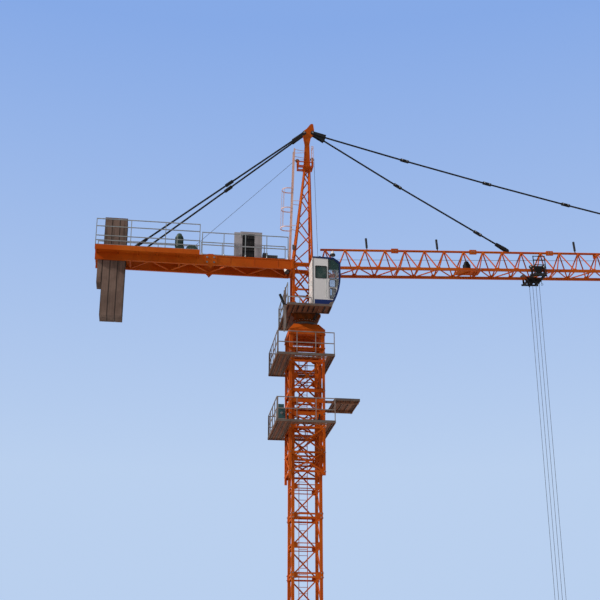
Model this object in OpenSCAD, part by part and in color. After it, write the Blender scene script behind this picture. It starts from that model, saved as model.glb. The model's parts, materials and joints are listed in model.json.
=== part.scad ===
// Tower crane with a hammerhead jib, as a model at half size.
// The origin is the middle of the base's underside, +X runs along the jib and +Z is up.

/* [Base] */
// Height of the crossed base beams
base_h = 150; // [120:5:200]
// Distance of an anchor bolt from each centre line
anchor_off = 470; // [440:5:560]
// Diameter of an anchor bolt hole
anchor_d = 34; // [20:1:48]
// Width of a base beam's flange
base_flange_w = 120; // [110:2:150]
// Side of a square anchor pad
anchor_pad_w = 200; // [160:5:240]

/* [Mast] */
// Outside width of the mast over its legs
mast_w = 750; // [700:5:770]
// Side of a mast leg tube
mast_leg_w = 70; // [50:1:80]
// Height of one mast section
mast_section_h = 1400; // [1200:10:1500]
// Number of mast sections
mast_section_count = 7; // [6:1:8]
// Width of a mast bracing bar, seen from the front
mast_lace_w = 32; // [20:1:44]
// Thickness of a mast bracing bar, from outside to inside
mast_lace_t = 25; // [16:1:32]
// Half distance between the paired level bars
level_gap = 45; // [30:1:60]
// Length of a leg's bolt sleeve at a section joint
sleeve_l = 170; // [120:5:240]
// How far a bolt sleeve stands out from the leg
sleeve_out = 8; // [4:1:8]

/* [Ladder] */
// Distance between a ladder's rails
ladder_w = 210; // [180:5:240]
// Distance between ladder rungs
rung_pitch = 150; // [120:5:160]
// Diameter of a ladder rung
rung_d = 14; // [10:1:18]

/* [Climbing frame] */
// Outside width of the climbing frame
cage_w = 900; // [890:2:920]
// Side of a climbing frame leg
cage_leg_w = 60; // [40:1:60]
// Height of the climbing frame's foot above the ground
cage_foot_z = 6720; // [6400:10:7200]
// How much further down the legs on the counterweight side reach
cage_tail = 90; // [60:5:300]
// Width of a climbing frame bracing bar
cage_lace_w = 34; // [24:1:44]
// Depth of the climbing frame's heavy level bands
cage_band_h = 90; // [60:2:120]

/* [Decks] */
// Top of the upper working deck
upper_deck_z = 9660; // [9600:5:9700]
// Top of the lower working deck
lower_deck_z = 7950; // [7800:5:8050]
// Half length of the decks across the jib
deck_half_y = 925; // [850:5:1000]
// Reach of the decks towards the counterweight
deck_back_x = 825; // [760:5:900]
// Reach of the decks towards the hook
deck_front_x = 625; // [580:5:700]
// Width of the open grating along a deck's long sides
deck_grating_w = 280; // [240:5:400]
// Thickness of the deck planks
plank_t = 25; // [18:1:30]
// Depth of the channel round a deck
edge_h = 60; // [40:2:80]
// Height of a deck's top rail
rail_h = 575; // [500:5:620]
// Thickness of a railing tube
rail_d = 20; // [14:1:26]
// Top of the platform that takes in new mast sections
feed_z = 8625; // [8500:5:8700]
// Reach of that platform from the mast's axis
feed_reach = 1300; // [1150:10:1400]

/* [Slewing] */
// Height of the fixed support between mast and slewing ring
support_h = 700; // [650:5:740]
// Width of the fixed support over its shoulders
support_w = 925; // [915:5:960]
// Diameter of the slewing ring
ring_d = 620; // [560:5:640]
// Height of the slewing ring
ring_h = 100; // [80:2:120]
// Running gap of the slewing ring
ring_gap = 0.3; // [0.2:0.1:1]
// Height of the turntable above the ring
turntable_h = 180; // [160:2:200]

/* [Tower head] */
// Reach of the head's legs towards the counterweight
head_back_x = 350; // [320:5:370]
// Reach of the head's legs towards the jib
head_front_x = 200; // [180:5:220]
// Half width of the head across the jib
head_half_y = 275; // [260:5:290]
// Side of a leg in the head's lower part
head_leg_w = 60; // [50:1:66]
// Height of the head's lower part
head_lower_h = 1400; // [1380:5:1420]
// Height of the tapered part of the head
taper_h = 2950; // [2900:10:3000]
// Number of bracing panels in the tapered part
taper_panels = 7; // [6:1:9]
// Diameter of a leg in the tapered part
taper_leg_d = 56; // [44:1:60]
// Height of the solid head plates
cap_h = 1430; // [1380:5:1480]

/* [Jib] */
// Upward tilt of the jib in degrees
jib_tilt = 2.6; // [1.5:0.1:3.5]
// Height of the jib's foot pins above the ground
jib_pin_z = 12250; // [12230:5:12270]
// Distance of the jib's foot pins from the mast's axis
jib_pin_x = 305; // [300:1:320]
// Outside width over the two lower chords
jib_w = 650; // [620:5:680]
// Height from the lower chords to the upper chord, middle to middle
jib_h = 640; // [600:5:680]
// Side of a lower chord
low_chord_w = 64; // [54:1:70]
// Diameter of the upper chord
top_chord_d = 62; // [50:1:70]
// Length of one jib section
jib_section_l = 2180; // [2100:10:2260]
// Number of jib sections before the tip
jib_section_count = 9; // [8:1:9]
// Diameter of a jib side brace
jib_brace_d = 36; // [28:1:40]
// Diameter of a brace between the lower chords
jib_floor_d = 34; // [26:1:40]

/* [Ties] */
// Diameter of a tie rod
tie_d = 48; // [36:1:56]
// Diameter of a coupling between tie rods
coupling_d = 92; // [70:2:110]
// Length of a coupling between tie rods
coupling_l = 235; // [180:5:280]
// Distance of the short tie's seat from the mast's axis
inner_tie_x = 5590; // [5500:5:5700]
// Distance of the long tie's seat from the mast's axis
outer_tie_x = 13600; // [13560:10:13700]
// Distance of the counter-jib ties' seats from the mast's axis
counter_tie_x = 4480; // [4400:10:4560]

/* [Counter-jib] */
// Level of the underside of the counter-jib beams
counter_z = 12150; // [12130:2:12170]
// Depth of a counter-jib beam
counter_beam_h = 275; // [250:5:290]
// Width of a counter-jib beam
counter_beam_w = 60; // [50:1:70]
// Distance of the beams' outer end from the mast's axis
counter_end_x = 5450; // [5400:10:5600]
// Distance of the joint between the two lengths of beam
counter_joint_x = 2500; // [2450:5:2550]
// Width of a side walkway
walk_w = 300; // [260:5:340]
// Where the side walkways begin
walk_start_x = 2800; // [2750:5:2850]
// Height of the counter-jib's top rail
counter_rail_h = 650; // [600:5:700]
// Height of the bare sign frame
sign_frame_h = 725; // [680:5:760]

/* [Counterweight] */
// Thickness of one concrete slab
slab_t = 188; // [170:1:195]
// Number of tall slabs
slab_count = 3; // [2:1:3]
// Level of the underside of the tall slabs
slab_foot_z = 10660; // [10500:10:10800]
// Level of the top of the tall slabs
slab_top_z = 13330; // [13300:10:13500]
// Gap between neighbouring slabs
slab_gap = 4; // [2:0.5:8]

/* [Cab] */
// Length of the cab, back to front
cab_l = 715; // [690:5:740]
// Width of the cab
cab_w = 590; // [560:5:590]
// Height of the cab
cab_h = 1290; // [1240:5:1330]
// Wall thickness of the cab
cab_wall = 20; // [14:1:26]
// Thickness of the cab's glass
glass_t = 6; // [4:0.5:8]

/* [Trolley] */
// Distance of the trolley from the mast's axis
trolley_x = 6300; // [5800:10:7000]
// Least distance of the trolley from the mast's axis
trolley_min_x = 1800; // [1750:10:2000]
// Radius of a trolley wheel's tread
wheel_r = 45; // [36:1:50]
// Level of the hook's lowest point
hook_low_z = 600; // [450:10:900]
// Diameter of a hoist rope
rope_d = 10; // [8:0.5:14]
// Distance between neighbouring falls of rope
fall_pitch = 94; // [80:1:110]

/* [Hidden] */

crane_orange = "#d9640f";
rail_grey = "#a3a59f";
tie_black = "#222428";
plank_brown = "#7a5a44";
concrete = "#6f5950";

mast_top = base_h + mast_section_count * mast_section_h;
mast_leg_c = mast_w / 2 - mast_leg_w / 2;
mast_leg_in = mast_w / 2 - mast_leg_w;
cage_leg_in = cage_w / 2 - cage_leg_w;
ring_z = mast_top + support_h;
turn_z = ring_z + ring_h + ring_gap;
platform_z = turn_z + turntable_h;
platform_top = platform_z + 40;
head_lower_top = platform_z + head_lower_h;
taper_top = head_lower_top + taper_h;
cap_base_t = 20;
cap_pin_d = 44;
link_t = 16;
link_in_y = 54;
back_link_y = 62;
pin_reach = 90;
seat_gap = 0.3;

// Slewing platform and cab
platform_half_y = 950;
platform_back_x = 575;
platform_front_x = 566;
platform_edge_x = 150;
platform_nose_y = 430;
in_rail_y = 420;
cab_x = 75;
cab_y = -platform_half_y + 2;
cab_nose_r = 1650;
cab_nose_z = 0.635 * cab_h;

// Tower head
taper_x = [-20, 155];
taper_half_y = 75;
cap_pin_z = taper_top + 0.79 * cap_h;
cap_pin_x = 225;
cap_back_pin = [-10, cap_pin_z - 20];
ladder_lean = atan(109 / 3215);
ladder_foot_z = head_lower_top + 0.051 * taper_h;
ladder_top_z = taper_top + 0.405 * cap_h;
hoop_z = [for (k = [0.38, 0.571, 0.768]) head_lower_top + k * taper_h];

// Jib
jib_c = jib_w / 2 - low_chord_w / 2;
jib_bay = jib_section_l / 4;
end_inset = 30;
foot_l = 30;
node_gap = 10;
foot_clear = 74;
foot_pin_d = 36;
lug_l = 95;
jib_lamp_bays = [2.55, 6.13, 13.31, 16.89, 20.47, 27.63, 31.22, 34.8];
winch_bay = 7.6;
tie_seat_h = top_chord_d / 2 + 35;
short_tie = [[cap_pin_x, cap_pin_z], [2598, 14946], [4798, 13660],
    [inner_tie_x, top_chord_z(inner_tie_x) + tie_seat_h]];
long_tie = [[cap_pin_x, cap_pin_z], [2824, 15759], [5160, 15208], [7411, 14710], [9700, 14235],
    [11950, 13800], [outer_tie_x, top_chord_z(outer_tie_x) + tie_seat_h]];

// Counter-jib
counter_top = counter_z + counter_beam_h;
web_in_y = jib_w / 2 - counter_beam_w + 8;
counter_beam_c = jib_w / 2 - counter_beam_w / 2;
cabinet_x = [1160, 1730];
drum_x = 2990;
drum_z = counter_top + 170;
drum_d = 230;

// Hoist rope and its guide sheaves; foot_sheave is in the jib's own frame
guide_r = 55;
guide_z = taper_top + 320;
guide_sheaves = [[-178, 124, guide_z], [218, 0, guide_z]];
foot_sheave = [120, 0, 400];
rope_u = jib_section_count * jib_section_l;
rope_z = jib_h - 72;
lead = atan2(guide_z - drum_z, guide_sheaves[0][0] + drum_x);

// Trolley and hook block
trolley_u = (trolley_x - jib_pin_x) / cos(jib_tilt);
plate_in_y = jib_w / 2 + 26;
axle_z = low_chord_w / 2 + wheel_r + 0.3;
wheel_u = 170;
sheave_drop = -205;
hook_block_top = hook_low_z + 900;
sheave_z = jib_pin_z + (trolley_x - jib_pin_x) * tan(jib_tilt) + sheave_drop;
rope_xs = [for (i = [-1.5:1:1.5]) i * fall_pitch];

// Straight bar of a flat drawing, from a to b
module strip(a, b, w) {
    d = b - a;
    translate(a) rotate(atan2(d[1], d[0])) translate([0, -w / 2]) square([norm(d), w]);
}

// Straight bar in space from a to b, with n sides
module rod(a, b, d, n = 6) {
    v = b - a;
    translate(a) rotate([0, acos(v[2] / norm(v)), atan2(v[1], v[0])])
        rotate(180 / n) cylinder(h = norm(v), d = d, $fn = n);
}

// Square tube from a to b with flats of width w facing along the axes when it stands upright
module post(a, b, w) {
    rod(a, b, w * sqrt(2), 4);
}

// Stands a flat drawing up in the plane y = y0, with thickness t on both sides of it
module upright(y0, t) {
    translate([0, y0 + t / 2, 0]) rotate([90, 0, 0]) linear_extrude(t) children();
}

// Stands a flat drawing (x becomes Y) up in the plane x = x0
module upright_side(x0, t) {
    translate([x0 - t / 2, 0, 0]) rotate([90, 0, 90]) linear_extrude(t) children();
}

// Box from its lowest corner to its highest corner
module block(a, b) {
    translate(a) cube(b - a);
}

module base_frame() {
    color(crane_orange) difference() {
        union() {
            for (turn = [45, 135]) rotate(turn) base_beam();
            for (turn = [45:90:315]) rotate(turn)
                translate([anchor_off * sqrt(2) - anchor_pad_w / 2, -anchor_pad_w / 2, 0])
                    cube([anchor_pad_w, anchor_pad_w, 30]);
        }
        for (sx = [-1, 1], sy = [-1, 1])
            translate([sx * anchor_off, sy * anchor_off, -1])
                cylinder(h = 40, d = anchor_d, $fn = 48);
    }
}

// One of the two crossed I beams, along X
module base_beam() {
    half = anchor_off * sqrt(2) - 60;
    flange_t = 20;
    translate([-half, 0, 0]) rotate([90, 0, 90]) linear_extrude(2 * half) union() {
        translate([-base_flange_w / 2, 0]) square([base_flange_w, flange_t]);
        translate([-base_flange_w / 2, base_h - flange_t]) square([base_flange_w, flange_t]);
        translate([-12, flange_t / 2]) square([24, base_h - flange_t]);
    }
}

// Bracing of one mast face, drawn between the legs: x across, y up
module mast_lacing(half) {
    panel_h = mast_section_h / 2;
    intersection() {
        translate([-half, base_h]) square([2 * half, mast_top - base_h]);
        union() {
            for (i = [0:2 * mast_section_count - 1])
                strip([-half, base_h + i * panel_h], [half, base_h + (i + 1) * panel_h], mast_lace_w);
            for (i = [0:2 * mast_section_count], s = [-1, 1])
                strip([-half, base_h + i * panel_h + s * level_gap],
                    [half, base_h + i * panel_h + s * level_gap],
                    i % 2 == 0 ? mast_lace_w * 1.25 : mast_lace_w * 0.6);
        }
    }
}

// A mast face with its two legs and their bolt sleeves, on the near side
module mast_face() {
    upright(-mast_leg_c, mast_lace_t) mast_lacing(mast_leg_c);
    for (s = [-1, 1]) {
        translate([s * mast_leg_c - mast_leg_w / 2, -mast_w / 2, base_h])
            cube([mast_leg_w, mast_leg_w, mast_top - base_h]);
        for (i = [1:mast_section_count - 1])
            translate([s > 0 ? mast_leg_in : -mast_w / 2 - sleeve_out, -mast_w / 2 - sleeve_out,
                base_h + i * mast_section_h - sleeve_l / 2])
                cube([mast_leg_w + sleeve_out, mast_leg_w + sleeve_out, sleeve_l]);
    }
}

module mast_front() {
    color(crane_orange) mast_face();
}

module mast_back() {
    color(crane_orange) rotate(180) mast_face();
}

module mast_sides() {
    color(crane_orange) for (turn = [90, 270])
        rotate(turn) upright(-mast_leg_c, mast_lace_t) mast_lacing(mast_leg_in);
}

// Straight ladder standing in the plane x = 0, from z = 0 up, with its rungs along Y
module ladder(h, pitch = rung_pitch) {
    rail_w = 20;
    for (s = [-1, 1])
        translate([-rail_w, s * ladder_w / 2 - 6, 0]) cube([2 * rail_w, 12, h]);
    for (z = [pitch / 2:pitch:h - 10])
        translate([0, -ladder_w / 2, z]) rotate([-90, 0, 0]) cylinder(h = ladder_w, d = rung_d, $fn = 6);
}

module mast_ladder() {
    color(crane_orange)
        translate([0, mast_leg_c - mast_lace_t / 2 - 20, base_h + 20]) rotate(90)
            ladder(mast_top - base_h - 60);
}

// Bracing of the climbing frame's tall faces, drawn between its legs
module cage_lacing(half) {
    levels = [mast_top - 30, upper_deck_z - 40, feed_z + 230, feed_z - 40, lower_deck_z + 305,
        lower_deck_z - 45, cage_foot_z + 560, cage_foot_z + 90];
    heavy = [2, 3, 4];
    intersection() {
        translate([-half, cage_foot_z]) square([2 * half, mast_top - cage_foot_z]);
        union() {
            for (i = [0:len(levels) - 1])
                strip([-half, levels[i]], [half, levels[i]],
                    len(search(i, heavy)) > 0 ? cage_band_h : cage_lace_w * 1.4);
            for (i = [1, 4, 5, 6]) for (s = [-1, 1])
                strip([-s * half, levels[i]], [s * half, levels[i + 1]], cage_lace_w);
            for (s = [-1, 1])
                strip([0, levels[3]], [s * half, levels[4]], cage_lace_w);
        }
    }
}

module cage_face() {
    upright(-cage_leg_in - cage_leg_w / 2, 30) cage_lacing(cage_w / 2 - cage_leg_w / 2);
}

// Legs of one tall face, the ones towards the counterweight reaching further down
module cage_legs() {
    translate([-cage_w / 2, -cage_w / 2, cage_foot_z - cage_tail])
        cube([cage_leg_w, cage_leg_w, mast_top - cage_foot_z + cage_tail]);
    translate([cage_leg_in, -cage_w / 2, cage_foot_z])
        cube([cage_leg_w, cage_leg_w, mast_top - cage_foot_z]);
}

module cage_front() {
    color(crane_orange) union() {
        cage_face();
        cage_legs();
    }
}

module cage_back() {
    color(crane_orange) mirror([0, 1, 0]) union() {
        cage_face();
        cage_legs();
    }
}

// The counterweight side is braced all over; the jib side is open where mast sections come in
module cage_sides() {
    color(crane_orange) {
        upright_side(-cage_leg_in - cage_leg_w / 2, 30) cage_lacing(cage_leg_in);
        upright_side(cage_leg_in + cage_leg_w / 2, 30) intersection() {
            cage_lacing(cage_leg_in);
            translate([-cage_leg_in, cage_foot_z])
                square([2 * cage_leg_in, lower_deck_z + 400 - cage_foot_z]);
        }
    }
}

// A plank floor with a channel round its edge, from corner a to corner b, top at z
module deck_board(a, b, z) {
    translate([a[0], a[1], z - plank_t]) cube([b[0] - a[0], b[1] - a[1], plank_t]);
    difference() {
        translate([a[0], a[1], z - edge_h]) cube([b[0] - a[0], b[1] - a[1], edge_h - plank_t / 2]);
        translate([a[0] + 12, a[1] + 12, z - edge_h - 1])
            cube([b[0] - a[0] - 24, b[1] - a[1] - 24, edge_h]);
    }
}

// Open grating across a deck from x = -half to half, its outer beam as deep as the deck's channel
module deck_grating(half, z) {
    bars = 3;
    pitch = deck_grating_w / (bars + 1);
    translate([-half - 1, -deck_half_y, z - edge_h]) cube([2 * half + 2, 12, edge_h]);
    translate([-half - 1, -deck_half_y + deck_grating_w - 12, z - 32]) cube([2 * half + 2, 12, 32]);
    for (i = [1:bars])
        translate([-half - 1, -deck_half_y + i * pitch - 5, z - 10]) cube([2 * half + 2, 10, 10]);
    for (i = [1:5])
        translate([-half + i * half / 3 - 5, -deck_half_y + 1, z - 12]) cube([10, deck_grating_w - 2, 12]);
}

// A deck round the climbing frame: plank floors at both ends, gratings along the long sides
module deck_ring(z) {
    half = cage_w / 2;
    union() {
        deck_board([-deck_back_x, -deck_half_y], [-half, deck_half_y], z);
        deck_board([half, -deck_half_y], [deck_front_x, deck_half_y], z);
        for (k = [0, 1]) mirror([0, k, 0]) deck_grating(half, z);
    }
}

module upper_deck() {
    color(plank_brown) deck_ring(upper_deck_z);
}

module lower_deck() {
    color(plank_brown) deck_ring(lower_deck_z);
}

// Flat railing panel drawn from x = 0 to l, with posts about every bay
module railing(l, h, rails = [0.5, 1], bay = 480) {
    count = max(1, round(l / bay));
    for (i = [0:count])
        translate([i * (l - rail_d) / count, 0]) square([rail_d, h]);
    for (k = rails) translate([0, k * h - rail_d]) square([l, rail_d]);
}

// Railing panels round a deck: both long sides and the end towards the counterweight
module deck_railing(z) {
    for (s = [-1, 1]) {
        translate([0, 0, z]) upright(s * (deck_half_y - rail_d / 2), rail_d)
            translate([-deck_back_x + rail_d + 2, 0])
                railing(deck_back_x + deck_front_x - rail_d - 2, rail_h);
    }
    translate([0, 0, z]) upright_side(-deck_back_x + rail_d / 2, rail_d)
        translate([-deck_half_y, 0]) railing(2 * deck_half_y, rail_h);
}

module deck_rails() {
    color(rail_grey) {
        deck_railing(upper_deck_z);
        deck_railing(lower_deck_z);
    }
}

module feed_platform() {
    half_y = 575;
    leg_y = cage_leg_in + cage_leg_w / 2;
    color(plank_brown) union() {
        translate([cage_w / 2 + 225, -half_y, feed_z - plank_t])
            cube([feed_reach - cage_w / 2 - 225, 2 * half_y, plank_t]);
        for (s = [-1, 1])
            translate([cage_w / 2, s * leg_y - 20, feed_z - plank_t - 60])
                cube([feed_reach - cage_w / 2, 40, 60]);
        for (x = [cage_w / 2 + 225, feed_reach - 20])
            translate([x, -half_y, feed_z - plank_t - 40]) cube([20, 2 * half_y, 50]);
    }
}

module hydraulic_unit() {
    color("#25484c") translate([-deck_back_x + 105, -260, lower_deck_z]) union() {
        cube([200, 420, 460]);
        translate([30, 60, 455]) cube([140, 140, 130]);
        translate([100, 310, 455]) cylinder(h = 150, d = 120, $fn = 40);
    }
}

module slewing_support() {
    half = support_w / 2;
    shoulder = half - ring_d / 2 - 10;
    corner = (half - shoulder) * 1.22;
    waist_z = support_h * 0.53;
    color(crane_orange) translate([0, 0, mast_top]) union() {
        difference() {
            block([-half, -half, 0], [half, half, 26]);
            block([-half + 110, -half + 110, -1], [half - 110, half - 110, 27]);
        }
        for (sx = [-1, 1], sy = [-1, 1])
            translate([sx * (cage_w / 2 - 45) - 45, sy * (cage_w / 2 - 45) - 45, 0])
                cube([90, 90, waist_z + 10]);
        for (a = [0:90:270]) rotate(a) upright(-cage_w / 2 + 45, 24) support_gusset(waist_z);
        block([-half - 8, -half - 8, waist_z], [half + 8, half + 8, waist_z + 16]);
        intersection() {
            upright(0, support_w) shoulder_outline(half, shoulder, waist_z);
            upright_side(0, support_w) shoulder_outline(half, shoulder, waist_z);
            for (a = [45, 135]) rotate(a) upright(0, 3 * half)
                shoulder_outline(half * sqrt(2) + 6, half * sqrt(2) + 6 - corner, waist_z);
        }
        translate([0, 0, support_h - 5]) cylinder(h = ring_h + 5, d = ring_d, $fn = 96);
    }
}

// Gussets in the upper corners between two posts of the support, one face of it
module support_gusset(top) {
    x = cage_w / 2 - 91;
    for (k = [0, 1]) mirror([k, 0])
        polygon([[x - 110, top + 1], [x + 2, top - 130], [x + 2, top + 1]]);
}

// Upper box of the slewing support in outline: upright sides, then shoulders sloping in to the ring
module shoulder_outline(half, shoulder, foot) {
    polygon([[-half, foot], [half, foot], [half, support_h - 190], [half - shoulder, support_h],
        [-half + shoulder, support_h], [-half, support_h - 190]]);
}

module turntable() {
    color(crane_orange) translate([0, 0, turn_z]) union() {
        cylinder(h = 60, d = ring_d, $fn = 96);
        difference() {
            upright(0, 680) polygon([[-ring_d / 2 - 10, 50], [ring_d / 2 + 10, 50],
                [head_back_x + 20, 110], [head_back_x + 20, turntable_h],
                [-head_back_x - 50, turntable_h], [-head_back_x - 50, 110]]);
            for (s = [-1, 1]) translate([0, s * 400, 110]) rotate([s * 35, 0, 0])
                translate([-500, -200, -160]) cube([1000, 400, 100]);
        }
    }
}

module slewing_motor() {
    color("#3c4146") translate([-20, -110, platform_z]) union() {
        cylinder(h = 60, d = 150, $fn = 48);
        cylinder(h = 250, d = 112, $fn = 48);
        translate([0, 0, 240]) cylinder(h = 60, d = 90, $fn = 48);
        translate([-30, -85, 100]) cube([60, 60, 70]);
    }
}

module platform_board(a, b) {
    deck_board(a, b, platform_top);
}

module cab_platform() {
    in_y = head_half_y + 12;
    in_x = head_back_x + 12;
    color(plank_brown) difference() {
        union() {
            platform_board([-platform_back_x, -platform_half_y], [-in_x, platform_half_y]);
            platform_board([-in_x + 2, -platform_half_y], [head_front_x + 60, -in_y]);
            platform_board([head_front_x + 60, -platform_half_y], [platform_front_x, -platform_nose_y]);
            platform_board([-in_x + 2, in_y], [platform_edge_x, platform_half_y]);
        }
        translate([0, 0, platform_z - edge_h])
            block([-head_back_x - 52, -345, 0], [head_back_x + 25, 345, edge_h]);
    }
}

module cab_platform_rails() {
    top = platform_top;
    color(rail_grey) {
        translate([0, 0, top]) upright_side(-platform_back_x + rail_d / 2, rail_d)
            translate([-platform_half_y, 0]) railing(2 * platform_half_y, 550);
        translate([0, 0, top]) upright(-platform_half_y + rail_d / 2, rail_d)
            translate([-platform_back_x + rail_d + 2, 0]) railing(platform_back_x + 20, 180, [1], 300);
        translate([0, 0, top]) upright(platform_half_y - rail_d / 2, rail_d)
            translate([-platform_back_x + rail_d + 2, 0]) railing(platform_back_x + 120, 550);
        translate([0, 0, top]) upright_side(platform_edge_x - rail_d / 2, rail_d)
            translate([in_rail_y, 0]) railing(platform_half_y - rail_d - 2 - in_rail_y, 550);
    }
}

module access_ladder() {
    foot_z = upper_deck_z + rail_h + 110;
    color(rail_grey) translate([-platform_back_x - 20, -620, foot_z]) ladder(platform_top + 500 - foot_z);
}

// Lower part of the tower head: four upright legs with cross bracing, and the seats of jib and counter-jib
module head_lower() {
    w = head_leg_w;
    z0 = platform_z;
    z1 = head_lower_top;
    mid = z0 + 700;
    cross_l = head_front_x + head_back_x;
    color(crane_orange) union() {
        for (x = [-head_back_x, head_front_x - w], y = [-head_half_y, head_half_y - w])
            translate([x, y, z0]) cube([w, w, z1 - z0]);
        for (s = [-1, 1]) {
            upright(s * (head_half_y - w / 2), 30) intersection() {
                translate([-head_back_x, z0]) square([cross_l, z1 - z0]);
                for (z = [z0, mid]) for (k = [0, 1])
                    strip([-head_back_x, z + k * 700], [head_front_x, z + (1 - k) * 700], 34);
            }
            for (z = [z0 + 20, mid, z1 - 30])
                block([-head_back_x + 10, s * (head_half_y - w / 2) - 20, z - 20],
                    [head_front_x - 10, s * (head_half_y - w / 2) + 20, z + (z > mid ? 30 : 20)]);
        }
        for (x = [-head_back_x + w / 2, head_front_x - w / 2]) {
            upright_side(x, 30) intersection() {
                translate([-head_half_y, z0]) square([2 * head_half_y, z1 - z0]);
                for (z = [z0, mid])
                    strip([-head_half_y, z], [head_half_y, z + 700], 34);
            }
            for (z = [z0 + 20, mid, z1 - 30])
                block([x - 20, -head_half_y + 10, z - 20],
                    [x + 20, head_half_y - 10, z + (z > mid ? 30 : 20)]);
        }
        jib_seat();
        counter_seat();
    }
}

// Cross beam with two pairs of lugs that hold the jib's foot pins
module jib_seat() {
    c = jib_w / 2 - low_chord_w / 2;
    block([head_front_x - 10, -jib_w / 2 - 5, jib_pin_z - 60],
        [head_front_x + 40, jib_w / 2 + 5, jib_pin_z + 60]);
    for (s = [-1, 1], k = [-1, 1]) upright(s * c + k * (low_chord_w / 2 + 9), 16) union() {
        translate([head_front_x + 30, jib_pin_z - 50]) square([jib_pin_x - head_front_x - 30, 100]);
        translate([jib_pin_x, jib_pin_z]) circle(d = 100, $fn = 48);
    }
    for (s = [-1, 1]) translate([jib_pin_x, s * c - low_chord_w / 2 - 12, jib_pin_z]) rotate([-90, 0, 0])
        cylinder(h = low_chord_w + 24, d = foot_pin_d, $fn = 48);
}

// Cross beam that the counter-jib beams butt against
module counter_seat() {
    y = jib_w / 2 + 20;
    block([-head_back_x - 40, -y, counter_z + 20], [-head_back_x, y, counter_top - 20]);
    block([-head_back_x - 1, -y, counter_z + 20], [-head_back_x + 10, y, head_lower_top]);
}

// Corner of the tapered part at height share k; sx and sy pick the corner
function taper_corner(sx, sy, k) = [
    (sx < 0 ? -head_back_x + 30 : head_front_x - 30) * (1 - k)
        + (sx < 0 ? taper_x[0] + 25 : taper_x[1] - 25) * k,
    sy * ((head_half_y - 30) * (1 - k) + taper_half_y * k),
    head_lower_top + 34 + (taper_h - 60) * k];

// Height share of bracing level i: panels get shorter towards the top
function taper_level(i) = 1 - pow(1 - i / taper_panels, 1.25);

module head_taper() {
    w = head_leg_w;
    color(crane_orange) union() {
        difference() {
            block([-head_back_x, -head_half_y, head_lower_top],
                [head_front_x, head_half_y, head_lower_top + 50]);
            block([-head_back_x + w, -head_half_y + w, head_lower_top - 1],
                [head_front_x - w, head_half_y - w, head_lower_top + 51]);
        }
        block([taper_x[0] - 12, -taper_half_y - 30, taper_top - 40],
            [taper_x[1] + 12, taper_half_y + 30, taper_top]);
        for (sx = [-1, 1], sy = [-1, 1])
            rod(taper_corner(sx, sy, 0), taper_corner(sx, sy, 1), taper_leg_d, 8);
        for (i = [0:taper_panels - 1]) {
            a = taper_level(i);
            b = taper_level(i + 1);
            for (s = [-1, 1]) {
                flip = (i % 2 == 0 ? 1 : -1) * s;
                rod(taper_corner(flip, s, a), taper_corner(-flip, s, b), 32);
                rod(taper_corner(s, flip, a), taper_corner(s, -flip, b), 30);
            }
        }
    }
}

// Solid head plates: a neck that narrows upward, then the fork that holds the tie pins
module head_cap() {
    z0 = taper_top;
    color(crane_orange) union() {
        block([taper_x[0] - 30, -95, z0], [taper_x[1] + 30, 95, z0 + cap_base_t]);
        upright(30, 24) cap_outline(z0);
        upright(-30, 24) cap_outline(z0);
        upright(0, 50) cap_web(z0);
        for (p = [[cap_pin_x, cap_pin_z], cap_back_pin])
            translate([p[0], -pin_reach, p[1]]) rotate([-90, 0, 0])
                cylinder(h = 2 * pin_reach, d = cap_pin_d, $fn = 40);
    }
}

module cap_outline(z0) {
    right = [[158, 0.007], [137, 0.538], [180, 0.699], [262, 0.769], [270, 0.853], [246, 0.986], [215, 1]];
    left = [[165, 0.986], [60, 0.881], [-34, 0.825], [-46, 0.762], [12, 0.538], [-25, 0.007]];
    polygon([for (p = concat(right, left)) [p[0], z0 + p[1] * cap_h]]);
}

module cap_web(z0) {
    polygon([for (p = [[5, 0.007], [130, 0.007], [110, 0.538], [95, 0.804], [70, 0.804], [35, 0.538]])
        [p[0], z0 + p[1] * cap_h]]);
}

// Place of the ladder's plane at a level, before it stands off from the head
function ladder_x(z) = -head_back_x + 13 + (z - head_lower_top - 320) * tan(ladder_lean);

module head_ladder() {
    foot_z = ladder_foot_z;
    color("#cf7a52") difference() {
        union() {
            translate([ladder_x(foot_z) - 60, 0, foot_z]) rotate([0, ladder_lean, 0])
                ladder((ladder_top_z - foot_z) / cos(ladder_lean));
            for (z = hoop_z) translate([ladder_x(z) - 60, 0, z]) hoop();
            for (a = [-50, 0, 50])
                rod([ladder_x(hoop_z[0]) - 60 - hoop_x(a), hoop_y(a), hoop_z[0]],
                    [ladder_x(hoop_z[2]) - 60 - hoop_x(a), hoop_y(a), hoop_z[2] + 24], 14, 4);
            for (z = [foot_z + 30, hoop_z[0] + 50, hoop_z[1] + 235]) for (s = [-1, 1])
                rod([ladder_x(z) - 60, s * ladder_w / 2, z], taper_corner(-1, s, taper_share(z)), 14, 6);
        }
        for (s = [-1, 1])
            rod(taper_corner(-1, s, 0), taper_corner(-1, s, 1), taper_leg_d + 2 * seat_gap, 8);
    }
}

function hoop_x(a) = 130 + 150 * cos(a);
function hoop_y(a) = 150 * sin(a);
function taper_share(z) = (z - head_lower_top - 34) / (taper_h - 60);

// One safety hoop: straight sides from the ladder's rails and a round back
module hoop() {
    linear_extrude(24) difference() {
        union() {
            translate([-130, 0]) circle(r = 156, $fn = 60);
            translate([-130, -156]) square([130, 312]);
        }
        translate([-130, 0]) circle(r = 144, $fn = 60);
        translate([-130, -144]) square([160, 288]);
    }
    for (s = [-1, 1]) block([-20, s > 0 ? ladder_w / 2 : -150, 0], [0, s > 0 ? 150 : -ladder_w / 2, 24]);
}

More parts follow.
